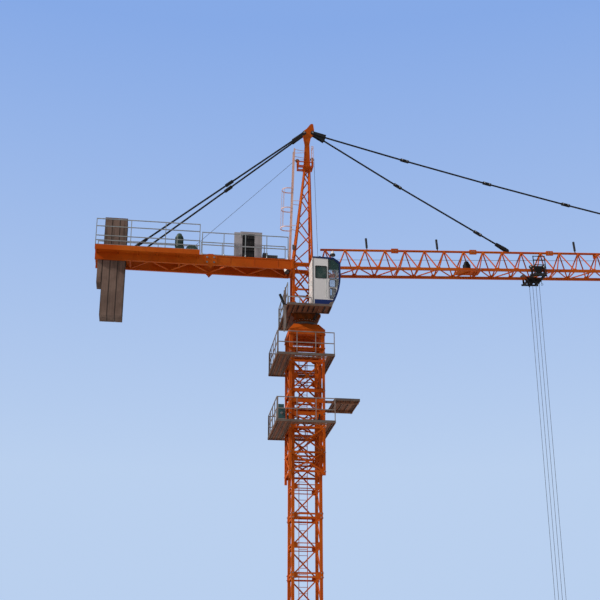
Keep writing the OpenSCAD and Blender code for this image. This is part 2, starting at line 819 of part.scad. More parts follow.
// Guard frame round the neck of the head
module head_guard() {
    z0 = taper_top + cap_base_t;
    color(crane_orange) union() {
        for (z = [z0, z0 + 120]) translate([0, 0, z]) linear_extrude(24) difference() {
            translate([-190, -165]) square([420, 330]);
            translate([-166, -141]) square([372, 282]);
        }
        for (x = [-190, 206], y = [-165, 141]) translate([x, y, z0]) cube([24, 24, 140]);
        for (s = [-1, 1]) translate([-190, s * 80 - 12, z0]) cube([420, 24, 24]);
        for (p = guide_sheaves) sheave_bracket(p);
    }
}

// Two cheeks that stand on the guard frame either side of a guide sheave
module sheave_bracket(p) {
    for (s = [-1, 1])
        block([p[0] - 18, p[1] + s * 18 - 6, taper_top + cap_base_t + 130],
            [p[0] + 18, p[1] + s * 18 + 6, p[2] + 18]);
}

// Side outline of the cab, taken in by t all round: flat back and floor, curved front, sloping roof edge
module cab_outline(t) {
    intersection() {
        translate([t, t]) square([cab_l - 2 * t, cab_h - 2 * t]);
        union() {
            translate([cab_l - cab_nose_r, cab_nose_z]) circle(r = cab_nose_r - t, $fn = 240);
            translate([0, cab_nose_z]) square([cab_l - t, cab_h]);
        }
        polygon([[0, 0], [cab_l + 5, 0], [cab_l + 5, 0.9 * cab_h - t], [0.745 * cab_l, cab_h - t],
            [0, cab_h - t]]);
    }
}

module cab_prism(t) {
    translate([cab_x, cab_y + cab_w - t, platform_top]) rotate([90, 0, 0]) linear_extrude(cab_w - 2 * t)
        cab_outline(t);
}

// Windows in the cab's sides: one behind, one large one up to the roof edge, two small ones below it
module side_windows() {
    l = cab_l;
    h = cab_h;
    translate([0.094 * l, 0.55 * h]) square([0.408 * l, 0.26 * h]);
    intersection() {
        cab_outline(34);
        union() {
            translate([0.562 * l, 0.55 * h]) square([0.44 * l, 0.45 * h]);
            translate([0.599 * l, 0.371 * h]) square([0.237 * l, 0.156 * h]);
            translate([0.613 * l, 0.127 * h]) square([0.212 * l, 0.214 * h]);
        }
    }
}

// Window openings of the cab, cut right through the side and front walls
module cab_windows(through) {
    translate([cab_x, cab_y, platform_top]) {
        translate([0, cab_w + through, 0]) rotate([90, 0, 0]) linear_extrude(cab_w + 2 * through)
            side_windows();
        block([0.45 * cab_l, 45, 0.12 * cab_h], [cab_l + through, cab_w - 45, 0.87 * cab_h]);
    }
}

module cab_shell() {
    color("#dfe2e2") difference() {
        cab_prism(0);
        cab_prism(cab_wall);
        cab_windows(30);
    }
}

module cab_glass() {
    inset = (cab_wall - glass_t) / 2;
    color("#2c4a55") intersection() {
        difference() {
            cab_prism(inset);
            cab_prism(inset + glass_t);
        }
        cab_windows(30);
    }
}

module cab_seat() {
    color("#2b2d31") translate([cab_x + 150, cab_y + cab_w / 2, platform_top + cab_wall]) union() {
        cylinder(h = 180, d = 90, $fn = 40);
        block([-120, -130, 170], [120, 130, 240]);
        block([-125, -125, 230], [-75, 125, 560]);
        for (s = [-1, 1]) block([-60, s * 160 - 25, 260], [130, s * 160 + 25, 330]);
        for (s = [-1, 1]) block([-60, s > 0 ? 110 : -150, 200], [-20, s > 0 ? 150 : -110, 270]);
    }
}

// Turns the jib's own frame into the crane's: x along the lower chords, z square to them
module jib_frame() {
    translate([jib_pin_x, 0, jib_pin_z]) rotate([0, -jib_tilt, 0]) children();
}

// Place along a section of lower node j, kept clear of the section's ends
function node_u(j, l, first) = min(max(j * jib_bay, first), l - end_inset);

// One length of jib in its own frame, with the upper chord from top_start on
module jib_length(bays, top_start = 0, lugs = true) {
    l = bays * jib_bay;
    first = top_start > 0 ? foot_clear : end_inset;
    for (s = [-1, 1])
        translate([0, s * jib_c - low_chord_w / 2, -low_chord_w / 2]) cube([l, low_chord_w, low_chord_w]);
    translate([top_start, 0, jib_h]) rotate([0, 90, 0])
        cylinder(h = l - top_start, d = top_chord_d, $fn = 12);
    for (j = [0:bays - 1], s = [-1, 1]) {
        top = [(j + 0.5) * jib_bay, s * node_gap, jib_h];
        rod([node_u(j, l, first), s * jib_c, 0], top, jib_brace_d);
        rod([node_u(j + 1, l, first), s * jib_c, 0], top, jib_brace_d);
    }
    for (j = [0:bays])
        rod([node_u(j, l, first), -jib_c, 0], [node_u(j, l, first), jib_c, 0], jib_floor_d);
    for (j = [0:bays - 1]) {
        s = j % 2 == 0 ? -1 : 1;
        rod([node_u(j, l, first), s * jib_c, 0], [node_u(j + 1, l, first), -s * jib_c, 0], jib_floor_d);
    }
    if (lugs) {
        for (x = top_start > 0 ? [l - lug_l] : [0, l - lug_l])
            translate([x, -30, jib_h - 58]) cube([lug_l, 60, 116]);
    }
}

module jib_section(i) {
    color(crane_orange) jib_frame() translate([i * jib_section_l, 0, 0]) {
        if (i == 0) difference() {
            union() {
                jib_length(4, 150);
                for (s = [-1, 1])
                    translate([-foot_l, s * jib_c - low_chord_w / 2, -low_chord_w / 2])
                        cube([foot_l + 1, low_chord_w, low_chord_w]);
                for (s = [-1, 1])
                    block([foot_clear - 14, s * 18.3 - 6, -10],
                        [foot_sheave[0] + 22, s * 18.3 + 6, foot_sheave[2] + 22]);
            }
            for (s = [-1, 1]) translate([0, s * jib_c - low_chord_w, 0]) rotate([-90, 0, 0])
                cylinder(h = 2 * low_chord_w, d = foot_pin_d + 1, $fn = 48);
        } else jib_length(4);
    }
}

module jib_tip() {
    tip_l = 2 * jib_bay;
    color(crane_orange) jib_frame() translate([jib_section_count * jib_section_l, 0, 0]) union() {
        jib_length(2, 0, false);
        translate([0, -30, jib_h - 58]) cube([lug_l, 60, 116]);
        for (s = [-1, 1])
            rod([tip_l - 32, s * jib_c, 0], [tip_l - 32, s * node_gap, jib_h], jib_brace_d);
        translate([tip_l - 40, -jib_w / 2, -60]) cube([40, jib_w, 120]);
    }
}

// Height of the jib's upper chord, middle, above the ground at a distance x from the axis
function top_chord_z(x) = jib_pin_z + (x - jib_pin_x) * tan(jib_tilt) + jib_h / cos(jib_tilt);

// A tie in the crane's middle plane: rods between the points, with a coupling at each inner point
module tie(points, y) {
    last = len(points) - 1;
    for (i = [0:last - 1])
        rod([points[i][0], y, points[i][1]], [points[i + 1][0], y, points[i + 1][1]], tie_d, 12);
    for (i = [1:last - 1]) {
        d = points[i + 1] - points[i - 1];
        n = d / norm(d) * coupling_l / 2;
        rod([points[i][0] - n[0], y, points[i][1] - n[1]], [points[i][0] + n[0], y, points[i][1] + n[1]],
            coupling_d, 12);
    }
}

// Link plate in the plane y = y0 that turns on a pin of the head and points along d
module link_plate(pin, d, l, y0) {
    upright(y0, link_t) difference() {
        union() {
            strip(pin, pin + d * l, 90);
            translate(pin) circle(d = 110, $fn = 48);
        }
        translate(pin) circle(d = cap_pin_d + 1, $fn = 48);
    }
}

module jib_ties() {
    color(tie_black) for (k = [0, 1]) union() {
        t = [short_tie, long_tie][k];
        link_y = [link_in_y, link_in_y + link_t + 4][k];
        d = (t[1] - t[0]) / norm(t[1] - t[0]);
        start = t[0] + d * 330;
        tie(concat([start], [for (i = [1:len(t) - 1]) t[i]]), 0);
        rod([start[0], -link_y, start[1]], [start[0], link_y, start[1]], 60, 12);
        for (s = [-1, 1]) link_plate(t[0], d, 380, s * link_y);
        tie_foot(t[len(t) - 1]);
    }
}

// Fork at a tie's lower end, standing on the jib's upper chord
module tie_foot(seat) {
    z0 = top_chord_z(seat[0]) + top_chord_d / 2 + seat_gap;
    translate([seat[0] - 60, -26, z0]) rotate([0, -jib_tilt, 0]) cube([120, 52, 40]);
}

module counter_ties() {
    color(tie_black) for (s = [-1, 1]) {
        b = [-counter_tie_x, s * counter_beam_c, counter_top + 90];
        v = [b[0] - cap_back_pin[0], b[2] - cap_back_pin[1]];
        d = v / norm(v);
        a = [cap_back_pin[0] + d[0] * 190, s * back_link_y, cap_back_pin[1] + d[1] * 190];
        mid = a + (b - a) * 0.44;
        n = (b - a) / norm(b - a);
        union() {
            rod(a, b, tie_d, 12);
            rod(mid - n * coupling_l / 2, mid + n * coupling_l / 2, coupling_d, 12);
            rod(a, a + n * 230, coupling_d, 12);
            rod(b - n * 420, b - n * 60, coupling_d * 0.9, 12);
            link_plate(cap_back_pin, d, 230, s * back_link_y);
            translate([b[0] - 70, b[1] - 24, counter_top]) cube([140, 48, 110]);
        }
    }
}

// A counter-jib beam along -X from x0 to x1: web with top and bottom flanges
module counter_beam(x0, x1, y) {
    t = 26;
    translate([-x1, y, counter_z]) rotate([90, 0, 90]) linear_extrude(x1 - x0) union() {
        translate([-counter_beam_w / 2, 0]) square([counter_beam_w, t]);
        translate([-counter_beam_w / 2, counter_beam_h - t]) square([counter_beam_w, t]);
        translate([-counter_beam_w / 2 + 8, t / 2]) square([counter_beam_w - 16, counter_beam_h - t]);
    }
}

module counter_beams() {
    color(crane_orange) for (s = [-1, 1]) union() {
        counter_beam(head_back_x + 40, counter_end_x, s * counter_beam_c);
        translate([-counter_joint_x, s * (jib_w / 2) + 9, 0]) rotate([90, 0, 0]) linear_extrude(18)
            polygon([[-170, counter_z + 60], [-60, counter_z - 20], [0, counter_z - 95],
                [60, counter_z - 20], [170, counter_z + 60], [170, counter_top - 40],
                [60, counter_top + 28], [-60, counter_top + 28], [-170, counter_top - 40]]);
    }
}

module counter_bracing() {
    half = web_in_y;
    z = counter_z + 26;
    start = head_back_x + 120;
    stop = counter_end_x - 900;
    count = 8;
    step = (stop - start) / count;
    color(crane_orange) union() {
        translate([0, 0, z]) linear_extrude(24) intersection() {
            translate([-stop - 20, -half]) square([stop - start + 40, 2 * half]);
            union() {
                for (i = [0:count - 1]) {
                    s = i % 2 == 0 ? 1 : -1;
                    strip([-start - i * step, s * (half + 10)],
                        [-start - (i + 1) * step, -s * (half + 10)], 40);
                }
                for (i = [0, count]) strip([-start - i * step, -half], [-start - i * step, half], 40);
            }
        }
    }
    color(crane_orange) for (x = [walk_start_x + 500, counter_end_x - 830, counter_end_x - 30])
        block([-x - 30, -half, counter_z + 100], [-x + 30, half, counter_top - 60]);
}

module counter_walkways() {
    y0 = jib_w / 2;
    color(crane_orange) for (s = [-1, 1]) union() {
        translate([-counter_end_x, s > 0 ? y0 : -y0 - walk_w, counter_top - 70])
            cube([counter_end_x - walk_start_x, walk_w, 14]);
        translate([-counter_end_x, s > 0 ? y0 + walk_w - 12 : -y0 - walk_w, counter_top - 130])
            cube([counter_end_x - walk_start_x, 12, 130]);
        for (x = [walk_start_x + 40:(counter_end_x - walk_start_x - 80) / 5:counter_end_x - 39])
            translate([-x - 10, s > 0 ? y0 - 8 : -y0 - walk_w + 6, counter_top - 120])
                cube([20, walk_w + 2, 52]);
    }
    color(crane_orange) floor_plates();
}

// Floor plates between the beams, under the cabinet and round the winch
module floor_plates() {
    for (x = [[head_back_x + 60, 2380], [2620, 4000]])
        block([-x[1], -web_in_y, counter_top - 60], [-x[0], web_in_y, counter_top - 46]);
}

module counter_rails() {
    color(rail_grey) {
        for (s = [-1, 1])
            translate([0, 0, counter_top]) upright(s * (jib_w / 2 - rail_d / 2 - 4), rail_d)
                translate([-walk_start_x + 60, 0])
                    railing(walk_start_x - 60 - 470, counter_rail_h, [0.46, 1], 560);
        translate([0, 0, counter_top]) upright(jib_w / 2 + walk_w - rail_d / 2, rail_d)
            translate([-counter_end_x, 0])
                railing(counter_end_x - walk_start_x, counter_rail_h, [0.46, 1], 560);
    }
}

// Bare frame along the near walkway, without its letters
module sign_frame() {
    color(rail_grey) translate([0, 0, counter_top]) upright(-jib_w / 2 - walk_w + rail_d / 2, rail_d)
        translate([-counter_end_x, 0])
            railing(counter_end_x - walk_start_x, sign_frame_h, [0.18, 0.36, 0.72, 1], 880);
}

module hoist_winch() {
    half = jib_w / 2 - counter_beam_w;
    z = drum_z;
    color("#2c4a3f") translate([-drum_x, 0, 0]) union() {
        block([-520, -half - 40, counter_top], [200, half + 40, counter_top + 40]);
        for (s = [-1, 1]) translate([0, s > 0 ? 160 : -200, 0])
            block([-110, 0, counter_top + 30], [110, 40, z + 60]);
        translate([0, -165, z]) rotate([-90, 0, 0]) cylinder(h = 330, d = drum_d, $fn = 64);
        for (y = [-152, 132]) translate([0, y, z]) rotate([-90, 0, 0]) cylinder(h = 20, d = 330, $fn = 64);
        translate([-430, -130, counter_top + 30]) cube([230, 260, 260]);
        translate([-330, 0, counter_top + 280]) cylinder(h = 330, d = 200, $fn = 48);
        translate([-330, 0, counter_top + 610]) cylinder(h = 80, d1 = 190, d2 = 110, $fn = 48);
        translate([-200, 60, z - 40]) cube([100, 70, 80]);
    }
}

// Control cabinet with its door folded right back, and the low resistor box beside it
module control_cabinet() {
    half = 225;
    z = counter_top - 46;
    h = 806;
    color("#b9bbb4") {
        union() {
            difference() {
                block([-cabinet_x[1], -half, z], [-cabinet_x[0], half, z + h]);
                block([-cabinet_x[1] + 50, -half - 1, z + 60],
                    [-cabinet_x[0] - 90, -half + 30, z + h - 50]);
            }
            block([-cabinet_x[1] - 165, -half, z + 40], [-cabinet_x[1] + 5, -half + 16, z + h - 20]);
        }
        block([-cabinet_x[0] + 30, -180, z], [-cabinet_x[0] + 420, 150, z + 190]);
    }
}

module counterweights() {
    color(concrete) {
        for (i = [1:slab_count])
            weight_slab(counter_end_x - 200 - (slab_t + slab_gap) * i, slab_t, slab_foot_z, slab_top_z);
        weight_slab(counter_end_x - 195, 120, slab_foot_z + 0.33 * (slab_top_z - slab_foot_z),
            counter_top + 110);
    }
}

// A slab that hangs between the beams on its wider head; x is its end nearer the mast
module weight_slab(x, t, foot, top) {
    in_y = jib_w / 2 - counter_beam_w - 12;
    out_y = jib_w / 2 - 14;
    translate([-x - t, 0, 0]) rotate([90, 0, 90]) linear_extrude(t)
        polygon([[-in_y, foot], [in_y, foot], [in_y, counter_top], [out_y, counter_top], [out_y, top],
            [-out_y, top], [-out_y, counter_top], [-in_y, counter_top]]);
}

module lamps() {
    color(tie_black) {
        for (k = jib_lamp_bays) {
            x = jib_pin_x + k * jib_bay * cos(jib_tilt);
            translate([x, 0, top_chord_z(x) + top_chord_d / 2 + 1.3]) rotate([0, -4, 0]) jib_lamp();
        }
        translate([-platform_back_x, -platform_half_y + 60, platform_top]) union() {
            block([-90, -10, -40], [0, 10, -20]);
            translate([-75, 0, -36]) rotate([0, -22, 0]) cylinder(h = 290, d = 66, $fn = 40);
        }
    }
}

module jib_lamp() {
    cylinder(h = 60, d = 30, $fn = 32);
    translate([0, 0, 50]) cylinder(h = 270, d = 60, $fn = 40);
}

module trolley_winch() {
    floor_z = jib_floor_d / 2 * cos(30) + 0.2;
    color("#4a4d50") jib_frame() translate([winch_bay * jib_bay, 0, floor_z]) union() {
        block([-330, -150, 0], [330, 150, 20]);
        cylinder(h = 230, d = 210, $fn = 48);
        translate([0, 0, 220]) cylinder(h = 110, d1 = 200, d2 = 110, $fn = 48);
        translate([0, 0, 320]) cylinder(h = 30, d = 40, $fn = 32);
    }
}

// Hoist rope: winch to head, head down to the jib's foot, then inside the jib to its tip
module hoist_ropes() {
    c = cos(jib_tilt);
    t = sin(jib_tilt);
    foot = [jib_pin_x + foot_sheave[0] * c - foot_sheave[2] * t, 0,
        jib_pin_z + foot_sheave[0] * t + foot_sheave[2] * c];
    color(tie_black) {
        union() {
            rod([-drum_x, guide_sheaves[0][1], drum_z]
                + (drum_d / 2 + rope_d / 2 + 0.2) * [-sin(lead), 0, cos(lead)],
                guide_sheaves[0] + (guide_r - 5) * [-sin(lead), 0, cos(lead)], rope_d);
            guide_sheave(guide_sheaves[0]);
        }
        union() {
            rod(guide_sheaves[1] + [guide_r - 6, 0, 0], foot + [-guide_r + 6, 0, 0], rope_d);
            guide_sheave(guide_sheaves[1]);
            guide_sheave(foot);
            jib_frame() rod(foot_sheave - [0, 0, guide_r - 5], [rope_u, 0, rope_z], rope_d);
        }
    }
}

module guide_sheave(p) {
    translate(p + [0, -12, 0]) rotate([-90, 0, 0]) cylinder(h = 24, r = guide_r, $fn = 48);
}

module trolley_place() {
    jib_frame() translate([trolley_u, 0, 0]) children();
}

module trolley_frame() {
    drop = low_chord_w / 2 + 110;
    color("#2a2b2e") trolley_place() union() {
        for (s = [-1, 1]) {
            translate([0, s > 0 ? plate_in_y : -plate_in_y - 14, 0]) {
                block([-240, 0, axle_z - 22], [240, 14, axle_z + 26]);
                for (u = [-wheel_u, wheel_u]) block([u - 26, 0, -drop - 50], [u + 26, 14, axle_z]);
                block([-240, 0, -drop - 50], [240, 14, -drop]);
            }
            for (u = [-wheel_u, wheel_u])
                translate([u, s > 0 ? plate_in_y - 17 : -plate_in_y - 1, axle_z]) rotate([-90, 0, 0])
                    cylinder(h = 18, d = 24, $fn = 32);
        }
        for (u = [-wheel_u, wheel_u])
            block([u - 26, -plate_in_y - 5, -drop - 50], [u + 26, plate_in_y + 5, -drop]);
        for (s = [-1, 1]) block([-wheel_u, s * 60 - 8, -drop - 90], [wheel_u, s * 60 + 8, -drop]);
        for (s = [-1, 1]) upright(s * 60, 16)
            polygon([[-wheel_u - 40, -drop - 25], [-wheel_u + 100, -drop - 25],
                [-wheel_u + 30, -drop - 215]]);
        translate([0, -plate_in_y - 180, 0]) trolley_basket();
        rotate([0, jib_tilt, 0]) for (x = [-fall_pitch, fall_pitch])
            translate([x, 0, sheave_drop]) fall_sheave();
    }
}

// Upper rope sheave of the trolley, on its axle
module fall_sheave() {
    rotate([-90, 0, 0]) {
        translate([0, 0, -12]) cylinder(h = 24, r = fall_pitch / 2 - rope_d / 2 * cos(30) - 0.2, $fn = 48);
        translate([0, 0, -66]) cylinder(h = 132, d = 26, $fn = 32);
    }
}

// Service basket on the near side of the trolley
module trolley_basket() {
    drop = low_chord_w / 2 + 110;
    for (u = [-wheel_u, wheel_u - 20]) {
        block([u, 0, -drop - 40], [u + 20, 190, -drop - 20]);
        block([u, 0, -drop - 40], [u + 20, 20, 330]);
    }
    block([-wheel_u, 0, -drop - 40], [wheel_u, 185, -drop - 28]);
    for (z = [60, 200, 310]) block([-wheel_u, 2, z], [wheel_u, 18, z + 18]);
}

module trolley_wheels() {
    color("#55585b") trolley_place() for (s = [-1, 1], u = [-wheel_u, wheel_u])
        translate([u, s * (jib_w / 2), axle_z]) rotate([s > 0 ? -90 : 90, 0, 0]) difference() {
            union() {
                translate([0, 0, -20]) cylinder(h = 34, r = wheel_r, $fn = 64);
                translate([0, 0, 4]) cylinder(h = 10, r = wheel_r + 14, $fn = 64);
            }
            translate([0, 0, 8]) cylinder(h = 20, d = 25, $fn = 32);
        }
}

module rope_falls() {
    color(tie_black) for (x = rope_xs)
        rod([trolley_x + x, 0, hook_block_top + 0.3], [trolley_x + x, 0, sheave_z], rope_d);
}

// Hook block: two cheek plates round its sheaves
module hook_block() {
    color("#c9601a") translate([trolley_x, 0, hook_low_z + 380]) union() {
        for (s = [-1, 1]) translate([0, s * 70 + 10, 0]) rotate([90, 0, 0]) linear_extrude(20)
            polygon([[-90, 0], [90, 0], [210, 180], [210, 430], [150, 500], [-150, 500],
                [-210, 430], [-210, 180]]);
        for (x = [-fall_pitch, fall_pitch]) translate([x, -65, 330]) rotate([-90, 0, 0])
            cylinder(h = 130, d = 60, $fn = 40);
        for (x = [-fall_pitch, fall_pitch], y = [-34, 14]) translate([x, y, 330]) rotate([-90, 0, 0])
            cylinder(h = 20, r = fall_pitch / 2 + 44, $fn = 64);
        block([-170, -70, 496], [170, 70, 520]);
        block([-80, -80, -20], [80, 80, 60]);
    }
}

// Hook: a shank and a round claw that opens on one side
module hook() {
    r = 95;
    t = 56;
    color("#33363a") translate([trolley_x, 0, hook_low_z]) union() {
        translate([0, 0, r + t / 2]) rotate([90, 0, 0]) {
            rotate([0, 0, 90]) rotate_extrude(angle = 285, $fn = 72) translate([r, 0])
                circle(d = t, $fn = 32);
        }
        translate([0, 0, 2 * r + t / 2]) cylinder(h = 360 - 2 * r - t / 2 - 0.3, d = t * 0.9, $fn = 40);
    }
}

base_frame();
mast_front();
mast_back();
mast_sides();
mast_ladder();
cage_front();
cage_back();
cage_sides();
upper_deck();
lower_deck();
deck_rails();
feed_platform();
hydraulic_unit();
slewing_support();
turntable();
slewing_motor();
cab_platform();
cab_platform_rails();
access_ladder();
head_lower();
head_taper();
head_cap();
head_ladder();
head_guard();
cab_shell();
cab_glass();
cab_seat();
for (i = [0:jib_section_count - 1])
    jib_section(i);
jib_tip();
jib_ties();
counter_ties();
lamps();
trolley_winch();
hoist_ropes();
counter_beams();
counter_bracing();
counter_walkways();
counter_rails();
sign_frame();
hoist_winch();
control_cabinet();
counterweights();
trolley_frame();
trolley_wheels();
rope_falls();
hook_block();
hook();
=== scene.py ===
"""Looks of a half-size tower crane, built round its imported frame.

The frame's solids get their finishes here, and the small parts that the solids leave out are
modelled as pieces that ride on the crane's three bodies: the tower, the upper works and the trolley.
"""

import json
import logging
import math
from dataclasses import dataclass, field, replace
from enum import Enum

import bpy
from mathutils import Matrix, Vector

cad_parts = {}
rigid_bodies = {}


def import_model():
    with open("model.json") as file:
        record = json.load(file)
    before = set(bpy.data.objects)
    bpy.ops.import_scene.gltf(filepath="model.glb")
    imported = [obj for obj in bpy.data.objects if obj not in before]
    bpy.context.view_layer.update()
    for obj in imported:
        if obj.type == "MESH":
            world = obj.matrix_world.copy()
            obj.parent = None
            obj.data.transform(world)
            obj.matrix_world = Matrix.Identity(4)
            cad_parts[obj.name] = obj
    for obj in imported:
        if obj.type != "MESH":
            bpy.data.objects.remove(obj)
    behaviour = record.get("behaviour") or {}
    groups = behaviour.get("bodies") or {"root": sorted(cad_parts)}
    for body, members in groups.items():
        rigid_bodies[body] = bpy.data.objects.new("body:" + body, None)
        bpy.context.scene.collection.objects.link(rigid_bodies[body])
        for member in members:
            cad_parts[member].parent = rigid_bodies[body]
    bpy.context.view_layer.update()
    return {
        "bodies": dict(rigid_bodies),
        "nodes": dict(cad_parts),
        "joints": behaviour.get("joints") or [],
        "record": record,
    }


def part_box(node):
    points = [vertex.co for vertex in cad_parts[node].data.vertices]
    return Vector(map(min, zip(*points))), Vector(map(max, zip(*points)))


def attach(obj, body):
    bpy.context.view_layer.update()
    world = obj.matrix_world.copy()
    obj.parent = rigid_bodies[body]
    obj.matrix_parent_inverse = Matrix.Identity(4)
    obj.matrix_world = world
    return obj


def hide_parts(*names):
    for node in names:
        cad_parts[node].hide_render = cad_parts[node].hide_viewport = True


log = logging.getLogger("tower_crane")

Colour = tuple[float, float, float]
Point = tuple[float, float, float]
Outline = list[tuple[float, float]]
Piece = bpy.types.Object

SIDES = (-1, 1)
HERE = Matrix.Identity(4)
UPRIGHT = Matrix.Rotation(math.radians(90), 4, "X")
HALF_TURN = Matrix.Rotation(math.pi, 4, "Z")

# Thickness of the lattices' node plates, m
NODE_PLATE_T = 0.006


class Body(Enum):
    """The crane's moving bodies."""

    TOWER = "tower"
    UPPER = "upper"
    TROLLEY = "trolley"


class Axis(Enum):
    """An axis of the crane's frame, as the index of its coordinate."""

    X = 0
    Y = 1
    Z = 2


# ---------------------------------------------------------------- shader expressions


class Signal:
    """A shader socket that takes part in Python arithmetic."""

    def __init__(self, nodes: "Nodes", socket: bpy.types.NodeSocket) -> None:
        """Wraps one output socket of a node tree."""
        self.nodes = nodes
        self.socket = socket

    def __add__(self, other: "Signal | float") -> "Signal":
        """Sum."""
        return self.nodes.math("ADD", self, other)

    __radd__ = __add__

    def __mul__(self, other: "Signal | float") -> "Signal":
        """Product."""
        return self.nodes.math("MULTIPLY", self, other)

    __rmul__ = __mul__

    def __sub__(self, other: "Signal | float") -> "Signal":
        """Difference."""
        return self.nodes.math("SUBTRACT", self, other)

    def __rsub__(self, other: "Signal | float") -> "Signal":
        """Difference from a number."""
        return self.nodes.math("SUBTRACT", other, self)

    def __truediv__(self, other: "Signal | float") -> "Signal":
        """Quotient."""
        return self.nodes.math("DIVIDE", self, other)

    def step(self, low: float, high: float) -> "Signal":
        """Rises smoothly from 0 at low to 1 at high.

        Args:
            low: the value where the rise starts.
            high: the value where it ends.

        Returns:
            The stepped signal.
        """
        sockets = {"Value": self, "From Min": low, "From Max": high}
        return self.nodes.signal("ShaderNodeMapRange", {"interpolation_type": "SMOOTHSTEP"}, sockets, "Result")


class Nodes:
    """Adds nodes to a node tree and feeds their sockets."""

    def __init__(self, tree: bpy.types.NodeTree) -> None:
        """Empties the tree."""
        self.tree = tree
        self.tree.nodes.clear()

    def node(self, kind: str, settings: dict, inputs: dict) -> bpy.types.Node:
        """Adds a node.

        Args:
            kind: the node's type name.
            settings: properties that are set first, such as a Math node's operation.
            inputs: values or signals for its sockets, by name or index.

        Returns:
            The node.
        """
        made = self.tree.nodes.new(kind)
        for key, value in settings.items():
            setattr(made, key, value)
        for key, value in inputs.items():
            self.feed(made.inputs[key], value)
        return made

    def feed(self, socket: bpy.types.NodeSocket, value: "Signal | float | tuple") -> None:
        """Links a signal to a socket, or sets its value."""
        if isinstance(value, Signal):
            self.tree.links.new(value.socket, socket)
        elif isinstance(value, tuple) and len(value) == 3 and socket.type == "RGBA":
            socket.default_value = (*value, 1.0)
        else:
            socket.default_value = value

    def signal(self, kind: str, settings: dict, inputs: dict, output: int | str = 0) -> Signal:
        """Adds a node and takes one of its outputs."""
        return Signal(self, self.node(kind, settings, inputs).outputs[output])

    def math(self, operation: str, *values: "Signal | float") -> Signal:
        """Adds a Math node on up to three values."""
        return self.signal("ShaderNodeMath", {"operation": operation}, dict(enumerate(values)))

    def blend(self, factor: "Signal | float", low: "Signal | Colour", high: "Signal | Colour") -> Signal:
        """Mixes two colours."""
        return self.signal("ShaderNodeMix", {"data_type": "RGBA"}, {0: factor, 6: low, 7: high}, 2)


class Graph(Nodes):
    """The nodes of one material, with its Principled shader."""

    def __init__(self, name: str) -> None:
        """Makes an empty material with a Principled shader joined to its output."""
        self.material = bpy.data.materials.new(name)
        self.material.use_nodes = True
        super().__init__(self.material.node_tree)
        self.shader = self.node("ShaderNodeBsdfPrincipled", {}, {})
        self.node("ShaderNodeOutputMaterial", {}, {"Surface": Signal(self, self.shader.outputs[0])})
        self.place = self.signal("ShaderNodeTexCoord", {}, {}, "Object")

    def axis(self, axis: Axis) -> Signal:
        """The object's own coordinate along an axis, in metres."""
        return self.signal("ShaderNodeSeparateXYZ", {}, {0: self.place}, axis.value)

    def facing(self, axis: Axis) -> Signal:
        """The surface normal's part along an axis."""
        normal = self.signal("ShaderNodeNewGeometry", {}, {}, "Normal")
        return self.signal("ShaderNodeSeparateXYZ", {}, {0: normal}, axis.value)

    def stretched(self, scale: Point) -> Signal:
        """Object coordinates scaled along each axis."""
        return self.signal("ShaderNodeMapping", {}, {"Vector": self.place, "Scale": scale})

    def noise(self, size: float, detail: float = 4.0, stretch: Point = (1.0, 1.0, 1.0)) -> Signal:
        """Soft noise.

        Args:
            size: the rough size of its patches, in metres.
            detail: how many finer layers it has.
            stretch: how much shorter the patches are along each axis.

        Returns:
            A signal from 0 to 1.
        """
        sockets = {"Vector": self.stretched(stretch), "Scale": 1.0 / size, "Detail": detail, "Roughness": 0.6}
        return self.signal("ShaderNodeTexNoise", {}, sockets)

    def cells(self, size: float) -> Signal:
        """Distance to the middle of random cells of a size in metres."""
        sockets = {"Vector": self.stretched((1.0, 1.0, 1.0)), "Scale": 1.0 / size}
        return self.signal("ShaderNodeTexVoronoi", {"feature": "F1"}, sockets, "Distance")

    def bump(self, height: Signal, depth: float, strength: float = 1.0) -> None:
        """Joins a height signal, in units of depth metres, to the shader's normal."""
        sockets = {"Height": height, "Distance": depth, "Strength": strength}
        self.feed(self.shader.inputs["Normal"], self.signal("ShaderNodeBump", {}, sockets))

    def surface(self, colour: "Signal | Colour", rough: "Signal | float", metal: "Signal | float" = 0.0) -> None:
        """Joins colour, roughness and metalness to the shader."""
        for socket, value in (("Base Color", colour), ("Roughness", rough), ("Metallic", metal)):
            self.feed(self.shader.inputs[socket], value)


# ---------------------------------------------------------------- finishes


